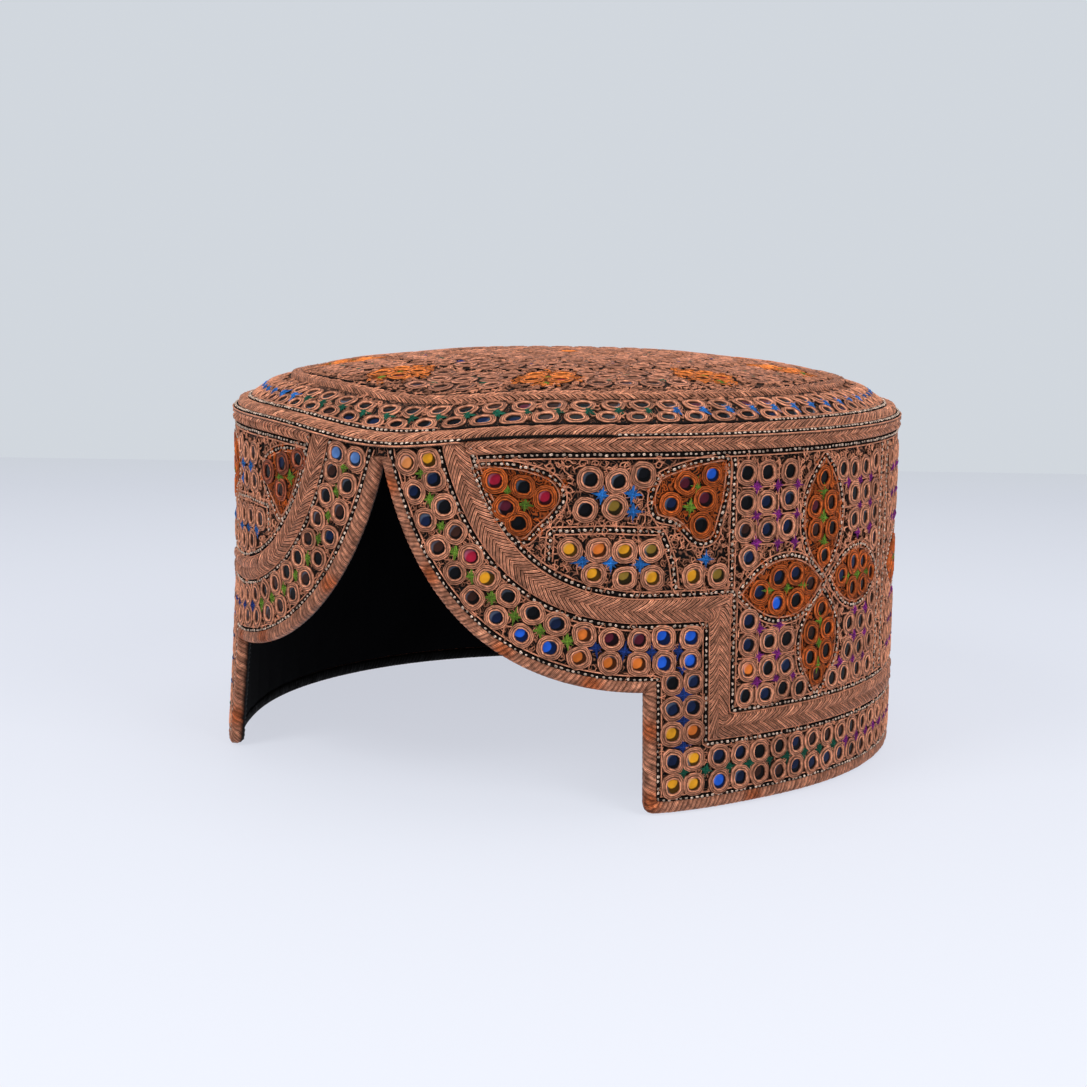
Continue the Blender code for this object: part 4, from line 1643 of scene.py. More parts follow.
@dataclass
class BorderMirrors:
    """The two rows of mirrors that follow the opening and the rim, with stars between them."""

    finishes: Finishes
    insets: Range = (7.0 * MM, 12.75 * MM)
    arch_count: int = 12
    arch_drop: float = 5.5 * MM
    arch_end: float = 63.2 * MM
    back_gap: float = 3.1 * MM
    corner_lift: float = 0.2 * MM
    corner_along: Range = (69.7 * MM, 76.3 * MM)
    flap_along: Range = (71.7 * MM, 77.2 * MM)
    flap_heights: tuple[float, ...] = (31.4 * MM, 25.2 * MM, 19.0 * MM)
    rim_heights: Range = (6.5 * MM, 12.6 * MM)
    rim_count: int = 33
    near_rim: int = 3
    leaf_count: int = 9
    turn_stars: Pairs = (
        (66.5, 38.875), (73.2, 38.875), (74.4, 34.6), (74.6, 28.3), (74.6, 22.1), (74.4, 15.9),
    )
    right_glass: tuple[str, ...] = ("PNNUKUNBBTTT", "ANKUCAKKNTMM", "BBBB", "KNA", "NNT", "AAB", "NAN")
    left_glass: tuple[str, ...] = ("SKUNKUKUUKKU", "SUKUUKKUKKUN", "KKUK", "UKK", "KKU", "KUK", "KKK")

    def arch_rows(self) -> tuple[Array, Array]:
        """Centres down the arch, outer row and inner row, up to the corner."""
        rows = []
        for inset in self.insets:
            line = OPENING.line(inset, self.arch_drop)
            reach = run_lengths(line)
            last = np.interp(self.arch_end, line[: OPENING.arch_stations, 0], reach[: OPENING.arch_stations])
            first = 0.022 * last
            rows.append(places_at(line, np.linspace(first, last, self.arch_count)))
        return rows[0], rows[1]

    def block(self) -> Array:
        """Centres of the corner's four mirrors."""
        low, high = (OPENING.step + inset + self.corner_lift for inset in self.insets)
        near, far = self.corner_along
        return np.array([[near, low], [near, high], [far, low], [far, high]])

    def flap_rows(self) -> tuple[Array, Array]:
        """Centres down the flap, beside the opening and further in."""
        outer, inner = (
            np.array([[along, height] for height in self.flap_heights]) for along in self.flap_along
        )
        return outer, inner

    def rim_rows(self) -> tuple[Array, Array]:
        """Centres along the rim, from the flap to the back centre."""
        along = np.linspace(self.flap_along[0], WALL.half_turn - self.back_gap, self.rim_count + 2)
        along[1] = self.flap_along[1]
        low, high = (
            level(along, height) for height in self.rim_heights
        )
        return low, high

    def half(self, rng: Rng, letters: tuple[str, ...]) -> tuple[Array, Array, Array, Array]:
        """Lay out one half.

        Args:
            rng: source of the glass along the rim.
            letters: glass of the arch's two rows, the corner, the flap's two rows and the rim's first.

        Returns:
            Centres, glass, star places and star colours.
        """
        arch_outer, arch_inner = self.arch_rows()
        flap_outer, flap_inner = self.flap_rows()
        rim_low, rim_high = self.rim_rows()
        groups = [arch_outer, arch_inner, self.block(), flap_outer, flap_inner]
        rest = len(rim_low) - self.near_rim
        dark = "".join(rng.choice(list("KNKU"), 2 * rest))
        low, high = dark[:rest], dark[rest:]
        glass = mirror_tints("".join(letters[:5]) + letters[5] + low + letters[6] + high)
        centres = np.concatenate([*groups, rim_low, rim_high])
        arch_stars = 0.25 * (arch_outer[:-1] + arch_outer[1:] + arch_inner[:-1] + arch_inner[1:])
        rim_stars = 0.25 * (rim_low[:-1] + rim_low[1:] + rim_high[:-1] + rim_high[1:])
        stars = np.concatenate([arch_stars, np.array(self.turn_stars) * MM, rim_stars])
        leaves = self.leaf_count
        paint = [Tint.LEAF.light] * leaves
        paint += [Tint.NIGHT.light] * (len(arch_stars) - leaves + len(self.turn_stars))
        paint += [Tint.PINE.light] * leaves + [Tint.PLUM.light] * (len(rim_stars) - leaves)
        return centres, glass, stars, np.array(paint)

    def build(self) -> tuple[Array, Array, Array]:
        """Make rings and mirrors on both sides.

        Returns:
            All centres, and the places and colours of the stars.
        """
        centres, stars, paints = [], [], []
        sides = (("right", 1.0, self.right_glass), ("left", -1.0, self.left_glass))
        for number, (side, turned, letters) in enumerate(sides):
            rng = np.random.default_rng(SEED + 10 + number)
            places, glass, star, paint = self.half(rng, letters)
            mirrored = np.array([turned, 1.0])
            bed = MirrorBed(WALL)
            bed.add(places * mirrored, Tint.COPPER, glass)
            rings, discs = bed.surfaces(rng)
            ring_name, node = f"border_mirror_rings_{side}", f"mirror_border_{side}"
            add_piece(rings, ring_name, self.finishes.rings, (node,))
            add_piece(discs, f"border_mirrors_{side}", self.finishes.mirror)
            centres.append(places * mirrored)
            stars.append(star * mirrored)
            paints.append(paint)
        return np.concatenate(centres), np.concatenate(stars), np.concatenate(paints)


@dataclass
class FrontPanel:
    """The field beside the arch: two orange leaves, a copper group and a box of amber mirrors.

    Places are in millimetres on the wall, as on the right front.
    """

    leaf_thread: Tint = Tint.ORANGE

    leaf: Pairs = ((28.9, 79.2), (35.4, 78.1), (31.4, 73.0), (40.5, 75.4), (34.9, 69.4))
    leaf_glass: str = "CKMCK"
    trefoil: Pairs = ((74.1, 78.8), (81.0, 80.7), (70.4, 73.9), (79.5, 74.8), (78.3, 68.7))
    trefoil_glass: str = "MBNMK"
    copper: Pairs = (
        (51.0, 79.8), (57.5, 79.6), (63.6, 81.2), (50.2, 73.1), (56.6, 73.1), (46.3, 63.7),
        (53.2, 63.6), (59.6, 63.3), (66.1, 63.0), (52.3, 57.6), (59.6, 56.7), (66.3, 56.7),
        (76.6, 56.7), (83.2, 56.6),
    )
    copper_glass: str = "KKKKOATAOAOAAO"
    leaf_outline: Pairs = (
        (23.9, 82.6), (31.0, 83.2), (37.5, 82.2), (42.8, 79.9), (44.9, 75.6), (42.4, 71.2),
        (39.2, 68.2), (36.0, 65.0), (32.6, 66.3), (29.4, 70.2), (26.6, 74.4), (25.0, 78.6),
    )
    trefoil_outline: Pairs = (
        (67.6, 80.6), (73.8, 83.0), (80.5, 84.4), (85.2, 84.2), (85.2, 77.0), (83.6, 69.9),
        (81.8, 65.4), (77.6, 64.4), (74.0, 67.6), (71.5, 69.7), (66.8, 71.0), (65.6, 75.6),
    )
    box: Pairs = ((41.6, 60.6), (42.0, 67.8), (55.0, 68.2), (68.3, 67.6), (71.2, 60.4), (72.2, 53.8))
    leaf_stars: Pairs = ((31.9, 77.0), (36.0, 73.8), (76.9, 78.0), (75.4, 73.2))
    blue_stars: Pairs = (
        (53.8, 76.4), (61.0, 76.6), (61.2, 72.4), (49.4, 60.7), (56.1, 60.4), (63.2, 59.9),
        (79.9, 60.6),
    )


LEFT_PANEL = FrontPanel(
    leaf_thread=Tint.RUST,
    leaf=((27.0, 80.8), (34.0, 78.9), (41.6, 76.1), (34.9, 72.3)),
    leaf_glass="KNKU",
    leaf_stars=((35.5, 75.4), (30.7, 75.9), (76.9, 78.0), (75.4, 73.2)),
    trefoil_glass="KNKUK",
    copper_glass="KKUKKUKKNKKUKK",
)


@dataclass
class FlowerPanel:
    """The square field that repeats round the wall: four orange petals between four grids.

    Places are in millimetres from the middle of the field.
    """

    petals: Pairs = (
        (-0.7, 25.6), (-3.9, 18.8), (2.6, 19.1), (-3.2, 12.7), (3.4, 12.7), (0.3, 6.2),
        (-22.0, -0.9), (-16.1, 2.5), (-16.5, -4.0), (-10.3, 2.5), (-10.1, -3.6), (-4.8, -0.1),
        (8.6, 0.3), (14.4, 3.0), (14.1, -3.6), (20.0, 2.6), (20.0, -3.4), (25.2, -0.6),
        (0.0, -7.0), (-3.8, -13.0), (2.9, -12.2), (-3.9, -18.9), (2.5, -18.2), (-1.2, -23.6),
    )
    petal_glass: str = "KMUUKKNNBNKUNNKNKKUUKKKU"
    grid: Pairs = (
        (-27.0, 28.0), (-20.6, 28.1), (-13.6, 28.2), (-27.0, 21.2), (-20.4, 21.2), (-13.6, 21.4),
        (-27.2, 14.2), (-20.5, 14.2), (-13.7, 14.6), (-25.9, 7.9),
        (7.4, 27.3), (12.9, 26.9), (19.6, 27.1), (26.2, 27.7), (13.8, 20.6), (20.2, 20.4),
        (26.6, 20.5), (13.9, 14.2), (20.2, 14.0), (26.6, 14.4), (27.1, 8.0),
        (-25.2, -8.0), (-25.1, -13.6), (-18.6, -13.2), (-13.2, -13.3), (-25.0, -19.9),
        (-18.9, -19.8), (-12.7, -19.9), (-26.0, -26.2), (-19.6, -26.3), (-13.4, -25.5),
        (-7.5, -26.2),
        (27.0, -7.8), (13.4, -12.6), (19.8, -12.9), (26.4, -13.3), (12.9, -19.5), (19.2, -19.2),
        (25.9, -18.9), (5.6, -25.4), (11.2, -25.0), (18.4, -25.1), (25.3, -25.0),
    )
    grid_glass: str = "KKKKNNUNNNKKKKKKKKKKNNNKKTKNKNKKKKKKKKKKKKK"
    stars: Pairs = (
        (-23.8, 24.8), (-17.2, 24.8), (-10.6, 24.6), (-23.8, 17.8), (-17.0, 17.9), (-10.6, 17.4),
        (-23.6, 11.2), (-16.8, 10.8), (-11.0, 10.6),
        (10.4, 23.8), (16.8, 23.7), (23.3, 23.9), (17.0, 17.3), (23.4, 17.4), (23.6, 11.2), (16.6, 10.4),
        (-21.8, -16.6), (-15.8, -16.5), (-22.3, -23.0), (-16.0, -22.8), (-10.2, -22.6), (-21.8, -9.9),
        (-15.4, -9.6), (16.4, -16.2), (22.8, -16.2), (16.0, -22.2), (22.2, -22.1), (9.4, -22.2),
        (16.4, -9.6), (23.0, -10.0),
    )
    leaf_stars: Pairs = (
        (-0.6, 22.4), (-0.4, 15.7), (0.2, 9.6), (-19.3, -0.6), (-13.2, -0.6), (-7.4, -0.4),
        (11.4, -0.2), (17.1, -0.3), (22.6, -0.5), (-0.4, -9.9), (-0.5, -15.6), (-0.8, -21.2),
    )
    petal_axes: tuple[tuple[float, float, float, float, float], ...] = (
        (-0.1, 16.3, 0.3, 15.2, 8.2),
        (-13.6, -0.6, 15.0, 0.4, 8.0),
        (16.6, -0.3, 13.6, -0.3, 7.7),
        (-0.4, -15.4, 0.8, 13.2, 8.2),
    )
    rows: tuple[tuple[float, float, float, float], ...] = (
        (-23.8, 31.5, -23.6, 9.5), (-17.1, 31.5, -16.9, 9.0), (-10.4, 31.5, -10.2, 12.0),
        (-28.0, 24.7, -8.5, 24.8), (-28.0, 17.8, -8.5, 17.9), (-28.0, 11.0, -15.0, 10.6),
        (16.6, 31.0, 16.9, 8.6), (23.2, 31.0, 23.4, 9.0), (8.0, 23.9, 29.0, 24.0),
        (9.0, 17.4, 29.0, 17.4), (12.0, 11.0, 29.0, 11.2),
        (-22.0, -9.0, -22.6, -29.0), (-15.8, -9.0, -16.2, -29.0), (-28.0, -10.4, -12.0, -10.2),
        (-28.0, -16.8, -9.0, -16.6), (-28.0, -23.1, -7.0, -22.6),
        (16.3, -9.2, 15.0, -28.6), (22.9, -9.2, 22.0, -28.6), (10.0, -9.8, 29.0, -10.2),
        (9.0, -16.0, 29.0, -16.2), (4.0, -22.2, 29.0, -22.0),
    )


@dataclass
class FieldWork:
    """Pieces that the wall's and the crown's embroidery have alike, named with one prefix."""

    sheet: Sheet
    prefix: str
    finishes: Finishes
    mirror_gap: float = 2.7 * MM
    thread_gap: float = 1.95 * MM
    loop_lift: float = 0.08 * MM

    def add_mirrors(self, bed: MirrorBed, rng: Rng) -> None:
        """Make the mirrors and their rings."""
        rings, discs = bed.surfaces(rng)
        add_piece(rings, f"{self.prefix}_mirror_rings", self.finishes.rings)
        add_piece(discs, f"{self.prefix}_mirrors", self.finishes.mirror)

    def add_lines(self, lines: CouchedLines, plain: list[Surface], rng: Rng) -> None:
        """Make the couched lines, with plain cords that lie on another sheet."""
        cords, dashes, threads = lines.surfaces(rng)
        add_piece(Surface.joined([cords, *plain]), f"{self.prefix}_black_cords", self.finishes.black)
        add_piece(dashes, f"{self.prefix}_pale_stitches", self.finishes.pale)
        add_piece(threads, f"{self.prefix}_line_threads", self.finishes.loops)

    def add_grounds(self, petals: list[Array], tint: Tint) -> None:
        """Make the petals' grounds."""
        grounds = Surface.joined([patch(self.sheet, loop, tint.light) for loop in petals])
        add_piece(grounds, f"{self.prefix}_petal_grounds", self.finishes.petal)

    def loops(
        self, starts: Array, centres: Array, tint: Array, tones: Range, rng: Rng
    ) -> Surface:
        """Couched loops that keep clear of the mirrors.

        Args:
            starts: places where the threads begin.
            centres: middles of the mirrors.
            tint: linear colours (threads, 3).
            tones: range of the factor on each thread's colour.
            rng: source of the variation.

        Returns:
            The loops as one surface.
        """
        meander = Meander()
        tint = tint * rng.uniform(*tones, (len(starts), 1))
        paths = meander.paths(starts, rng)
        kept = clear_of(paths, centres, self.thread_gap)
        width, height = meander.width, meander.height
        return thread_tubes(self.sheet, paths[kept], width, height, tint[kept], self.loop_lift, section=3)

    def open_starts(self, starts: Array, kept: Array, centres: Array) -> Array:
        """Places among those kept that aren't on a mirror."""
        gap = np.linalg.norm(starts[:, None] - centres, axis=-1).min(axis=1)
        return starts[kept & (gap > self.mirror_gap)]


@dataclass
class WallFields:
    """Everything on the wall between its border and the shoulder, gathered and then made."""

    finishes: Finishes
    first: float = 89.0 * MM
    half_field: float = 28.6 * MM
    count: int = 6
    middle_height: float = 52.5 * MM
    top_drop: float = 4.25 * MM
    line_insets: tuple[float, ...] = (3.35 * MM, 15.85 * MM)
    line_drop: float = 1.2 * MM
    panel_inset: float = 23.35 * MM
    flower_stray: float = 0.25 * MM
    front_post: float = 1.95 * MM
    post_spread: float = 2.6 * MM
    fill_foot: float = 4.5 * MM
    fill_inset: float = 4.2 * MM
    row_width: float = 0.6 * MM
    row_height: float = 0.62 * MM

    def __post_init__(self) -> None:
        """Empty beds for mirrors, lines, petals and stars."""
        self.bed = MirrorBed(WALL)
        self.lines = CouchedLines(WALL)
        self.petals: list[Array] = []
        self.stars: list[Array] = []
        self.star_paint: list[Array] = []
        self.rows: list[Array] = []

    @property
    def middles(self) -> Array:
        """Middles of the flower fields, from the right front round the back to the left front."""
        start = self.first + self.half_field
        return np.linspace(start, 2.0 * WALL.half_turn - start, self.count)

    def add_stars(self, places: Array, paint: Array) -> None:
        """Take in stars, all of one colour or one colour each."""
        self.stars.append(places)
        self.star_paint.append(np.broadcast_to(paint, (len(places), 3)))

    def add_front(self, side: float) -> None:
        """Lay out one field beside the arch."""
        panel = FrontPanel() if side > 0.0 else LEFT_PANEL
        mirrored = np.array([side, 1.0]) * MM
        for places, thread, glass in (
            (panel.leaf, panel.leaf_thread, panel.leaf_glass),
            (panel.trefoil, Tint.ORANGE, panel.trefoil_glass),
            (panel.copper, Tint.COPPER, panel.copper_glass),
        ):
            self.bed.add(np.array(places) * mirrored, thread, mirror_tints(glass))
        for outline in (panel.leaf_outline, panel.trefoil_outline):
            loop = smooth_loop(np.array(outline) * mirrored, 4)
            self.petals.append(loop)
            self.lines.add(loop)
        self.lines.add(np.array(panel.box) * mirrored)
        self.add_stars(np.array(panel.leaf_stars) * mirrored, Tint.LEAF.light)
        self.add_stars(np.array(panel.blue_stars) * mirrored, Tint.SKY.light)

    def add_flower(self, number: int, rng: Rng) -> None:
        """Lay out one flower field; the last one, beside the left front, is mirrored."""
        panel = FlowerPanel()
        middle = np.array([self.middles[number], self.middle_height])
        mirrored = np.array([1.0 if number < self.count - 1 else -1.0, 1.0]) * MM
        wander = rng.normal(0.0, self.flower_stray, (len(panel.grid) + len(panel.petals), 2))
        wander = wander * (0.0 if number == 0 else 1.0)
        petals = middle + np.array(panel.petals) * mirrored + wander[: len(panel.petals)]
        grid = middle + np.array(panel.grid) * mirrored + wander[len(panel.petals) :]
        self.bed.add(petals, Tint.ORANGE, mirror_tints(panel.petal_glass))
        self.bed.add(grid, Tint.COPPER, mirror_tints(panel.grid_glass[: len(panel.grid)]))
        for x, y, tip_x, tip_y, half in panel.petal_axes:
            loop = lens(middle + np.array([x, y]) * mirrored, np.array([tip_x, tip_y]) * mirrored, half * MM)
            self.petals.append(loop)
            self.lines.add(loop)
        self.add_stars(middle + np.array(panel.stars) * mirrored, Tint.PLUM.light)
        self.add_stars(middle + np.array(panel.leaf_stars) * mirrored, Tint.LEAF.light)
        for x0, y0, x1, y1 in panel.rows:
            ends = middle + np.array([[x0, y0], [x1, y1]]) * mirrored
            self.rows.append(spaced(ends, 12))

    def add_lines(self) -> None:
        """The long lines: beside the binding, beside both sides of the plaits, and the posts."""
        for inset in self.line_insets:
            self.lines.add(as_run(OPENING.line(inset, self.line_drop)))
        panel = as_run(OPENING.line(self.panel_inset, self.top_drop))
        self.lines.add(panel)
        along = np.linspace(panel[0, 0], 2.0 * WALL.half_turn - panel[0, 0], 300)
        self.lines.add(pair(along, WALL.shoulder(along) - self.top_drop))
        top = WALL.height - self.top_drop - 1.0 * MM
        low = self.panel_inset + 1.0 * MM
        step_foot = OPENING.step + self.panel_inset - 0.5 * MM
        turn = 2.0 * WALL.half_turn
        posts = [(self.first - self.front_post, step_foot)]
        posts += [(turn - along, foot) for along, foot in posts]
        for middle in 0.5 * (self.middles[1:] + self.middles[:-1]):
            posts += [(middle + side * self.post_spread, low) for side in (-1.0, 1.0)]
        for along, foot in posts:
            self.lines.add(np.array([[along, top], [along, foot]]))

    def build(self, border: tuple[Array, Array, Array]) -> None:
        """Lay everything out and make the pieces."""
        rng = np.random.default_rng(SEED + 20)
        for side in (1.0, -1.0):
            self.add_front(side)
        for number in range(self.count):
            self.add_flower(number, rng)
        self.add_lines()
        self.add_stars(border[1], border[2])
        work = FieldWork(WALL, "wall", self.finishes)
        work.add_mirrors(self.bed, rng)
        work.add_lines(self.lines, [], rng)
        work.add_grounds(self.petals, Tint.ORANGE)
        self.build_stars(rng)
        self.build_fill(work, border[0], rng)

    def build_stars(self, rng: Rng) -> None:
        """Crossed stitches between the mirrors."""
        places = np.concatenate(self.stars)
        paint = np.concatenate(self.star_paint) * rng.uniform(0.75, 1.3, (len(places), 1))
        add_piece(star_surface(WALL, places, paint, rng), "wall_stars", self.finishes.star)

    def build_fill(self, work: FieldWork, border_centres: Array, rng: Rng) -> None:
        """Loops between everything, and the straight threads between rows of mirrors."""
        low = np.array([-WALL.half_turn, self.fill_foot])
        high = np.array([WALL.half_turn, WALL.height - self.top_drop])
        starts = Meander().starts(low, high, rng)
        turn = np.array([2.0 * WALL.half_turn, 0.0])
        centres = self.bed.all_centres()
        centres = np.concatenate([centres, centres - turn, border_centres])
        edge_gap = OPENING.clearance(starts)
        on_braid = (edge_gap > self.line_insets[1]) & (edge_gap < self.panel_inset)
        kept = ~OPENING.is_open(starts) & (edge_gap > self.fill_inset) & ~on_braid
        starts = work.open_starts(starts, kept, centres)
        orange = np.zeros(len(starts), dtype=bool)
        for loop in self.petals:
            orange |= inside(starts, loop) | inside(starts + turn, loop)
        tint = np.where(orange[:, None], 0.85 * Tint.ORANGE.light, Tint.COPPER.light)
        loops = work.loops(starts, centres, tint, (0.75, 1.7), rng)
        rows = np.stack(self.rows)
        row_tint = Tint.COPPER.light * rng.uniform(0.75, 1.0, (len(rows), 1))
        straight = thread_tubes(WALL, rows, self.row_width, self.row_height, row_tint)
        add_piece(Surface.joined([loops, straight]), "wall_couched_loops", self.finishes.loops)


def star_surface(sheet: Sheet, places: Array, paint: Array, rng: Rng, rise: float = 1.0) -> Surface:
    """Stars of crossed stitches: long arms, and shorter ones between them.

    Args:
        sheet: the surface below.
        places: middles of the stars.
        paint: linear colours (n, 3).
        rng: source of turns and sizes.
        rise: factor on their height.

    Returns:
        All stars as one surface.
    """
    count = len(places)
    turn = rng.normal(0.0, 0.12, count)
    size = rng.uniform(0.7, 1.15, (count, 2))
    long_arms = star_stamp(rise=rise).laid(sheet, places, paint, turn, size)
    short = star_stamp(reach=1.7 * MM, waist=0.6 * MM, rise=rise)
    short_arms = short.laid(sheet, places, paint * 0.8, turn + 0.25 * math.pi, size)
    return Surface.joined([long_arms, short_arms])


@dataclass
class CrownFields:
    """Mirror rows round the crown's edge, nine orange petals, and a rosette in the middle."""

    finishes: Finishes
    row_radii: Range = (86.25 * MM, 82.0 * MM)
    row_squeezes: Range = (0.62, 0.82)
    row_count: int = 74
    row_letters: tuple[str, str] = ("KKKKNKUK", "KUKKKKMU")
    between_letters: str = "KKNUK"
    rosette_letters: str = "KKNKKUNKKB"
    plait_radius: float = 75.8 * MM
    plait_clearance: float = 2.5 * MM
    fill_radius: float = 86.0 * MM
    green_angles: Range = (-0.42, 0.75)
    petal_count: int = 9
    petal_turn: float = math.radians(-16.5)
    petal_middle: float = 60.2 * MM
    petal_reach: float = 10.6 * MM
    petal_half_width: float = 8.4 * MM
    petal_places: Pairs = ((-3.4, 63.6), (3.4, 63.6), (-3.3, 57.0), (3.3, 57.0))
    petal_glass: str = "KCKK"
    between_places: Pairs = (
        (-10.3, 66.2), (-3.4, 67.2), (3.4, 67.2), (10.3, 66.2), (-6.9, 60.5), (0.0, 61.0),
        (6.9, 60.5), (-9.7, 54.2), (-3.4, 54.8), (3.4, 54.8), (9.7, 54.2),
    )
    rosette: tuple[tuple[float, int], ...] = ((44.2, 40), (37.6, 34), (26.4, 24), (19.8, 18), (7.0, 6))
    petal_stars: Pairs = ((0.0, 60.3), (0.0, 66.6))
    between_stars: Pairs = ((-6.9, 63.9), (6.9, 63.9), (0.0, 57.7))
    star_circles: tuple[tuple[float, int, float, Tint], ...] = (
        (40.9, 13, 0.0, Tint.PINE),
        (40.9, 12, 0.26, Tint.NIGHT),
        (23.1, 11, 0.0, Tint.PINE),
    )
    star_tones: Range = (0.8, 1.3)
    circles: tuple[float, ...] = (72.7, 48.6, 32.0, 13.6)
    seams: tuple[tuple[float, Range], ...] = (
        (-2.45 * MM, (13.0 * MM, 100.0 * MM)),
        (2.1 * MM, (21.0 * MM, 57.0 * MM)),
    )

    @property
    def sector(self) -> float:
        """Angle from petal to petal."""
        return 2.0 * math.pi / self.petal_count

    def around(self, places: Pairs, shift: float = 0.0) -> Array:
        """Repeat places for every petal.

        Args:
            places: (sideways, outwards) from the petal's axis, in millimetres.
            shift: share of a sector that they are moved on by.

        Returns:
            Places on the crown.
        """
        start = self.petal_turn + shift * self.sector
        turn = start + np.arange(self.petal_count)[:, None] * 2.0 * math.pi / self.petal_count
        side, out = (np.array(places) * MM).T[:, None, :]
        x = out * np.sin(turn) + side * np.cos(turn)
        y = -out * np.cos(turn) + side * np.sin(turn)
        return pair(x, y).reshape(-1, 2)

    def mirrors(self, rng: Rng) -> MirrorBed:
        """Lay out the mirrors: the edge's two rows, the petals, between them, and the rosette."""
        work = MirrorWork(disc_share=0.56, disc_height=0.34 * MM, rise=0.78)
        bed = MirrorBed(CROWN, work, round_axis=True)
        for number, radius in enumerate(self.row_radii):
            centres = circle(radius, self.row_count, 0.01 + 0.02 * number)[:-1]
            glass = random_tints(self.row_letters[number], self.row_count, rng)
            bed.add(centres, Tint.COPPER, glass, self.row_squeezes[number])
        petal_glass = mirror_tints(self.petal_glass * self.petal_count)
        bed.add(self.around(self.petal_places), Tint.SAFFRON, petal_glass)
        between = self.around(self.between_places, 0.5)
        bed.add(between, Tint.BRONZE, random_tints(self.between_letters, len(between), rng))
        for radius, count in self.rosette:
            glass = random_tints(self.rosette_letters, count, rng)
            bed.add(circle(radius * MM, count)[:-1], Tint.BRONZE, glass)
        bed.add(np.zeros((1, 2)), Tint.SAFFRON, mirror_tints("B"))
        return bed

    def petals(self) -> list[Array]:
        """Outlines of the petals."""
        loops = []
        for number in range(self.petal_count):
            turn = self.petal_turn + self.sector * number
            out = np.array([math.sin(turn), -math.cos(turn)])
            loops.append(lens(out * self.petal_middle, out * self.petal_reach, self.petal_half_width))
        return loops

    def build(self) -> None:
        """Lay everything out and make the pieces."""
        rng = np.random.default_rng(SEED + 30)
        work = FieldWork(CROWN, "crown", self.finishes)
        bed, petals = self.mirrors(rng), self.petals()
        work.add_mirrors(bed, rng)
        plain = CouchedLines(CROWN)
        plain.add_plain(*(circle(radius * MM, 240) for radius in self.circles), *petals)
        work.add_lines(self.seam_lines(), plain.cords(), rng)
        work.add_grounds(petals, Tint.SAFFRON)
        self.build_stars(rng)
        self.build_fill(work, bed.all_centres(), petals, rng)

    def seam_lines(self) -> CouchedLines:
        """Lines above and below the shoulder braid, without pale stitches on their right front."""
        seam = CouchedLines(SHOULDER)
        turn = 2.0 * WALL.half_turn
        for down, (first, last) in self.seams:
            bare = np.linspace(first, last, 40)
            sewn = np.linspace(last, turn + first, 330)
            seam.add_plain(level(bare, down))
            seam.add(level(sewn, down))
        return seam

    def build_stars(self, rng: Rng) -> None:
        """Crossed stitches: green to blue between the rows, green in the petals, teal inside."""
        edge = circle(0.5 * sum(self.row_radii), self.row_count, math.pi / self.row_count)[:-1]
        phi = np.arctan2(edge[:, 0], -edge[:, 1])
        green = (phi > self.green_angles[0]) & (phi < self.green_angles[1])
        paint = np.where(green[:, None], Tint.PINE.light, Tint.SKY.light)
        groups = [
            (self.around(self.petal_stars), Tint.LEAF),
            (self.around(self.between_stars, 0.5), Tint.PINE),
        ]
        for radius, count, start, tint in self.star_circles:
            groups.append((circle(radius * MM, count, start)[:-1], tint))
        places = np.concatenate([place for place, _ in groups])
        paints = np.concatenate([np.tile(tint.light, (len(place), 1)) for place, tint in groups])
        paints = paints * rng.uniform(*self.star_tones, (len(places), 1))
        paint = paint * rng.uniform(*self.star_tones, (len(edge), 1))
        flat = star_surface(CROWN, places, paints, rng, rise=0.62)
        high = star_surface(CROWN, edge, paint, rng, rise=0.9)
        add_piece(Surface.joined([flat, high]), "crown_stars", self.finishes.star)

    def build_fill(self, work: FieldWork, centres: Array, petals: list[Array], rng: Rng) -> None:
        """Loops between the mirrors and the outlines."""
        edge = np.full(2, self.fill_radius)
        starts = Meander().starts(-edge, edge, rng)
        flat = np.hypot(starts[:, 0], starts[:, 1])
        kept = (flat < self.fill_radius) & (np.abs(flat - self.plait_radius) > self.plait_clearance)
        starts = work.open_starts(starts, kept, centres)
        orange = np.zeros(len(starts), dtype=bool)
        for loop in petals:
            orange |= inside(starts, loop)
        tint = np.where(orange[:, None], Tint.SAFFRON.light, Tint.COPPER.light)
        loops = work.loops(starts, centres, tint, (0.35, 1.25), rng)
        add_piece(loops, "crown_couched_loops", self.finishes.loops)


@dataclass
class ClothShell:
    """The CAD solids that stay: the wall, the crown and their lining, with cloth on them."""

    finishes: Finishes
    embroidered: tuple[str, ...] = ("side_band", "crown_top")
    lined: tuple[str, ...] = ("lining_band", "lining_crown")

    def dress(self) -> None:
        """Give each solid its cloth."""
        for names, material in (
            (self.embroidered, self.finishes.ground),
            (self.lined, self.finishes.velvet),
        ):
            for name in names:
                item = bpy.data.objects[name]
                for holder in item.material_slots:
                    holder.material = material
                LOG.info("%s dressed", name)


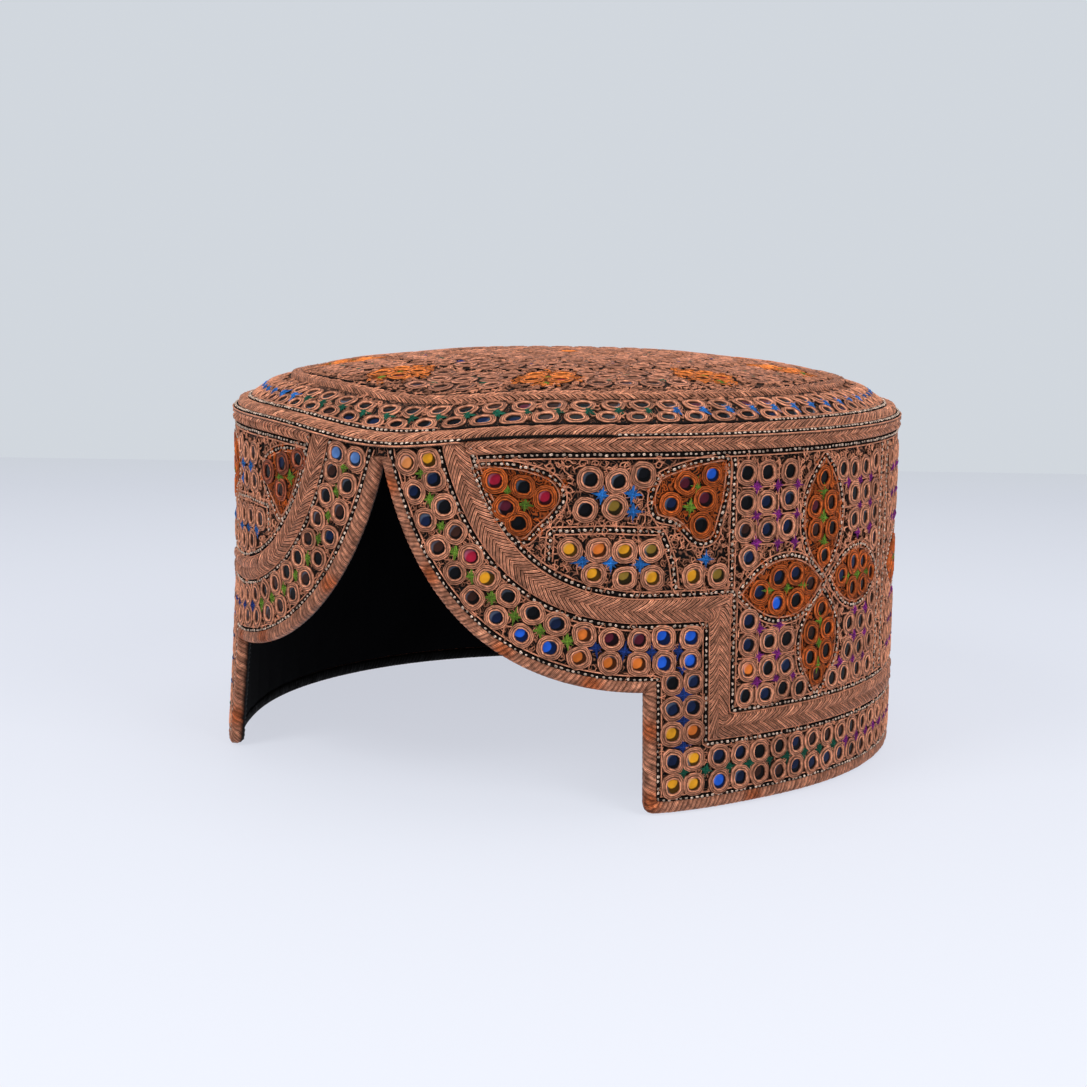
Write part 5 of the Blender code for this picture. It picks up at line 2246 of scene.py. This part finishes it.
@dataclass(frozen=True)
class Studio:
    """Camera, pale floor and soft light of the photograph."""

    azimuth: float = math.radians(28.412)
    distance: float = 540.7 * MM
    height: float = 132.7 * MM
    pitch: float = math.radians(-8.603)
    roll: float = math.radians(0.820)
    yaw: float = math.radians(0.671)
    focal_pixels: float = 1948.2
    sensor: float = 36.0
    floor_far: float = 660.0 * MM
    floor_half: float = 1.6
    ambience: float = 0.7

    def camera(self) -> None:
        """Place the camera: its axes come from azimuth, yaw, pitch and roll in turn."""
        east, north = math.sin(self.azimuth), -math.cos(self.azimuth)
        place = Vector((east * self.distance, north * self.distance, self.height))
        bearing = self.azimuth + self.yaw
        level = Vector((-math.sin(bearing), math.cos(bearing), 0.0))
        upright = Vector((0.0, 0.0, 1.0))
        ahead = level * math.cos(self.pitch) + upright * math.sin(self.pitch)
        right = ahead.cross(upright).normalized()
        up = right.cross(ahead)
        right, up = (
            right * math.cos(self.roll) + up * math.sin(self.roll),
            up * math.cos(self.roll) - right * math.sin(self.roll),
        )
        data = bpy.data.cameras.new("camera")
        data.sensor_width = self.sensor
        data.lens = self.sensor * self.focal_pixels / IMAGE_SIZE
        data.clip_start = 0.01
        data.clip_end = 20.0
        item = shown("camera", data)
        turn = Matrix((right, up, -ahead)).transposed().to_4x4()
        item.matrix_world = Matrix.Translation(place) @ turn
        bpy.context.scene.camera = item

    def floor(self) -> None:
        """Pale table whose far edge lies square to the view."""
        ahead = np.array([-math.sin(self.azimuth), math.cos(self.azimuth)])
        side = np.array([ahead[1], -ahead[0]])
        near, far = -ahead * self.floor_half, ahead * self.floor_far
        wide = side * self.floor_half
        corners = [near - wide, near + wide, far + wide, far - wide]
        mesh = bpy.data.meshes.new("floor")
        mesh.from_pydata([(x, y, -0.0002) for x, y in corners], [], [(0, 1, 2, 3)])
        layer = mesh.attributes.new("nearness", "FLOAT", "POINT")
        layer.data.foreach_set("value", [1.0, 1.0, 0.0, 0.0])
        material, kit, shader = start_material("pale_floor")
        shader.inputs["Base Color"].default_value = (0.15, 0.155, 0.165, 1.0)
        ramp = kit.add("ShaderNodeValToRGB")
        stops = ramp.color_ramp.elements
        stops[0].color = (0.455, 0.48, 0.525, 1.0)
        stops[1].color = (0.67, 0.69, 0.76, 1.0)
        stops[1].position = 0.4
        stops.new(0.06).color = (0.47, 0.492, 0.55, 1.0)
        stops.new(0.28).color = (0.585, 0.605, 0.675, 1.0)
        kit.link(kit.add("ShaderNodeAttribute", attribute_name="nearness").outputs["Fac"], ramp.inputs[0])
        kit.link(ramp.outputs[0], shader.inputs["Emission Color"])
        set_inputs(shader, Emission_Strength=1.0, Roughness=0.7, Specular_IOR_Level=0.2)
        mesh.materials.append(material)
        item = shown("floor", mesh)

    def softbox(self, name: str, place: Vector, size: float, power: float) -> None:
        """A square lamp that faces the cap."""
        data = bpy.data.lights.new(name, "AREA")
        data.shape = "SQUARE"
        data.size = size
        data.energy = power
        item = shown(name, data)
        item.location = place
        item.rotation_euler = (Vector((0.0, 0.0, 0.05)) - place).to_track_quat("-Z", "Y").to_euler()

    def light(self) -> None:
        """Pale surroundings, a broad lamp in front on the left and a weaker one on the right."""
        world = bpy.data.worlds.new("pale_room")
        world.use_nodes = True
        kit = NodeKit(world.node_tree)
        shade = world.node_tree.nodes["Background"]
        shade.inputs["Color"].default_value = (0.64, 0.68, 0.73, 1.0)
        seen = kit.add("ShaderNodeLightPath").outputs["Is Camera Ray"]
        kit.link(kit.plus(self.ambience, seen, 1.0 - self.ambience), shade.inputs["Strength"])
        bpy.context.scene.world = world
        bpy.context.scene.view_settings.view_transform = "Standard"
        self.softbox("key_lamp", Vector((-0.35, -0.9, 0.95)), 0.55, 8.5)
        self.softbox("top_lamp", Vector((0.05, 0.2, 1.2)), 0.7, 4.3)
        self.softbox("side_lamp", Vector((0.95, -0.35, 0.75)), 0.5, 6.4)

    def build(self) -> None:
        """Set up camera, floor and light."""
        self.camera()
        self.floor()
        self.light()


def main() -> None:
    """Build the cap's pieces in order."""
    logging.basicConfig(level=logging.INFO, format="%(message)s")
    Studio().build()
    finishes = Finishes()
    ClothShell(finishes).dress()
    Binding(finishes).build()
    Braids(finishes).build()
    border = BorderMirrors(finishes).build()
    WallFields(finishes).build(border)
    CrownFields(finishes).build()


if __name__ == "__main__":
    main()
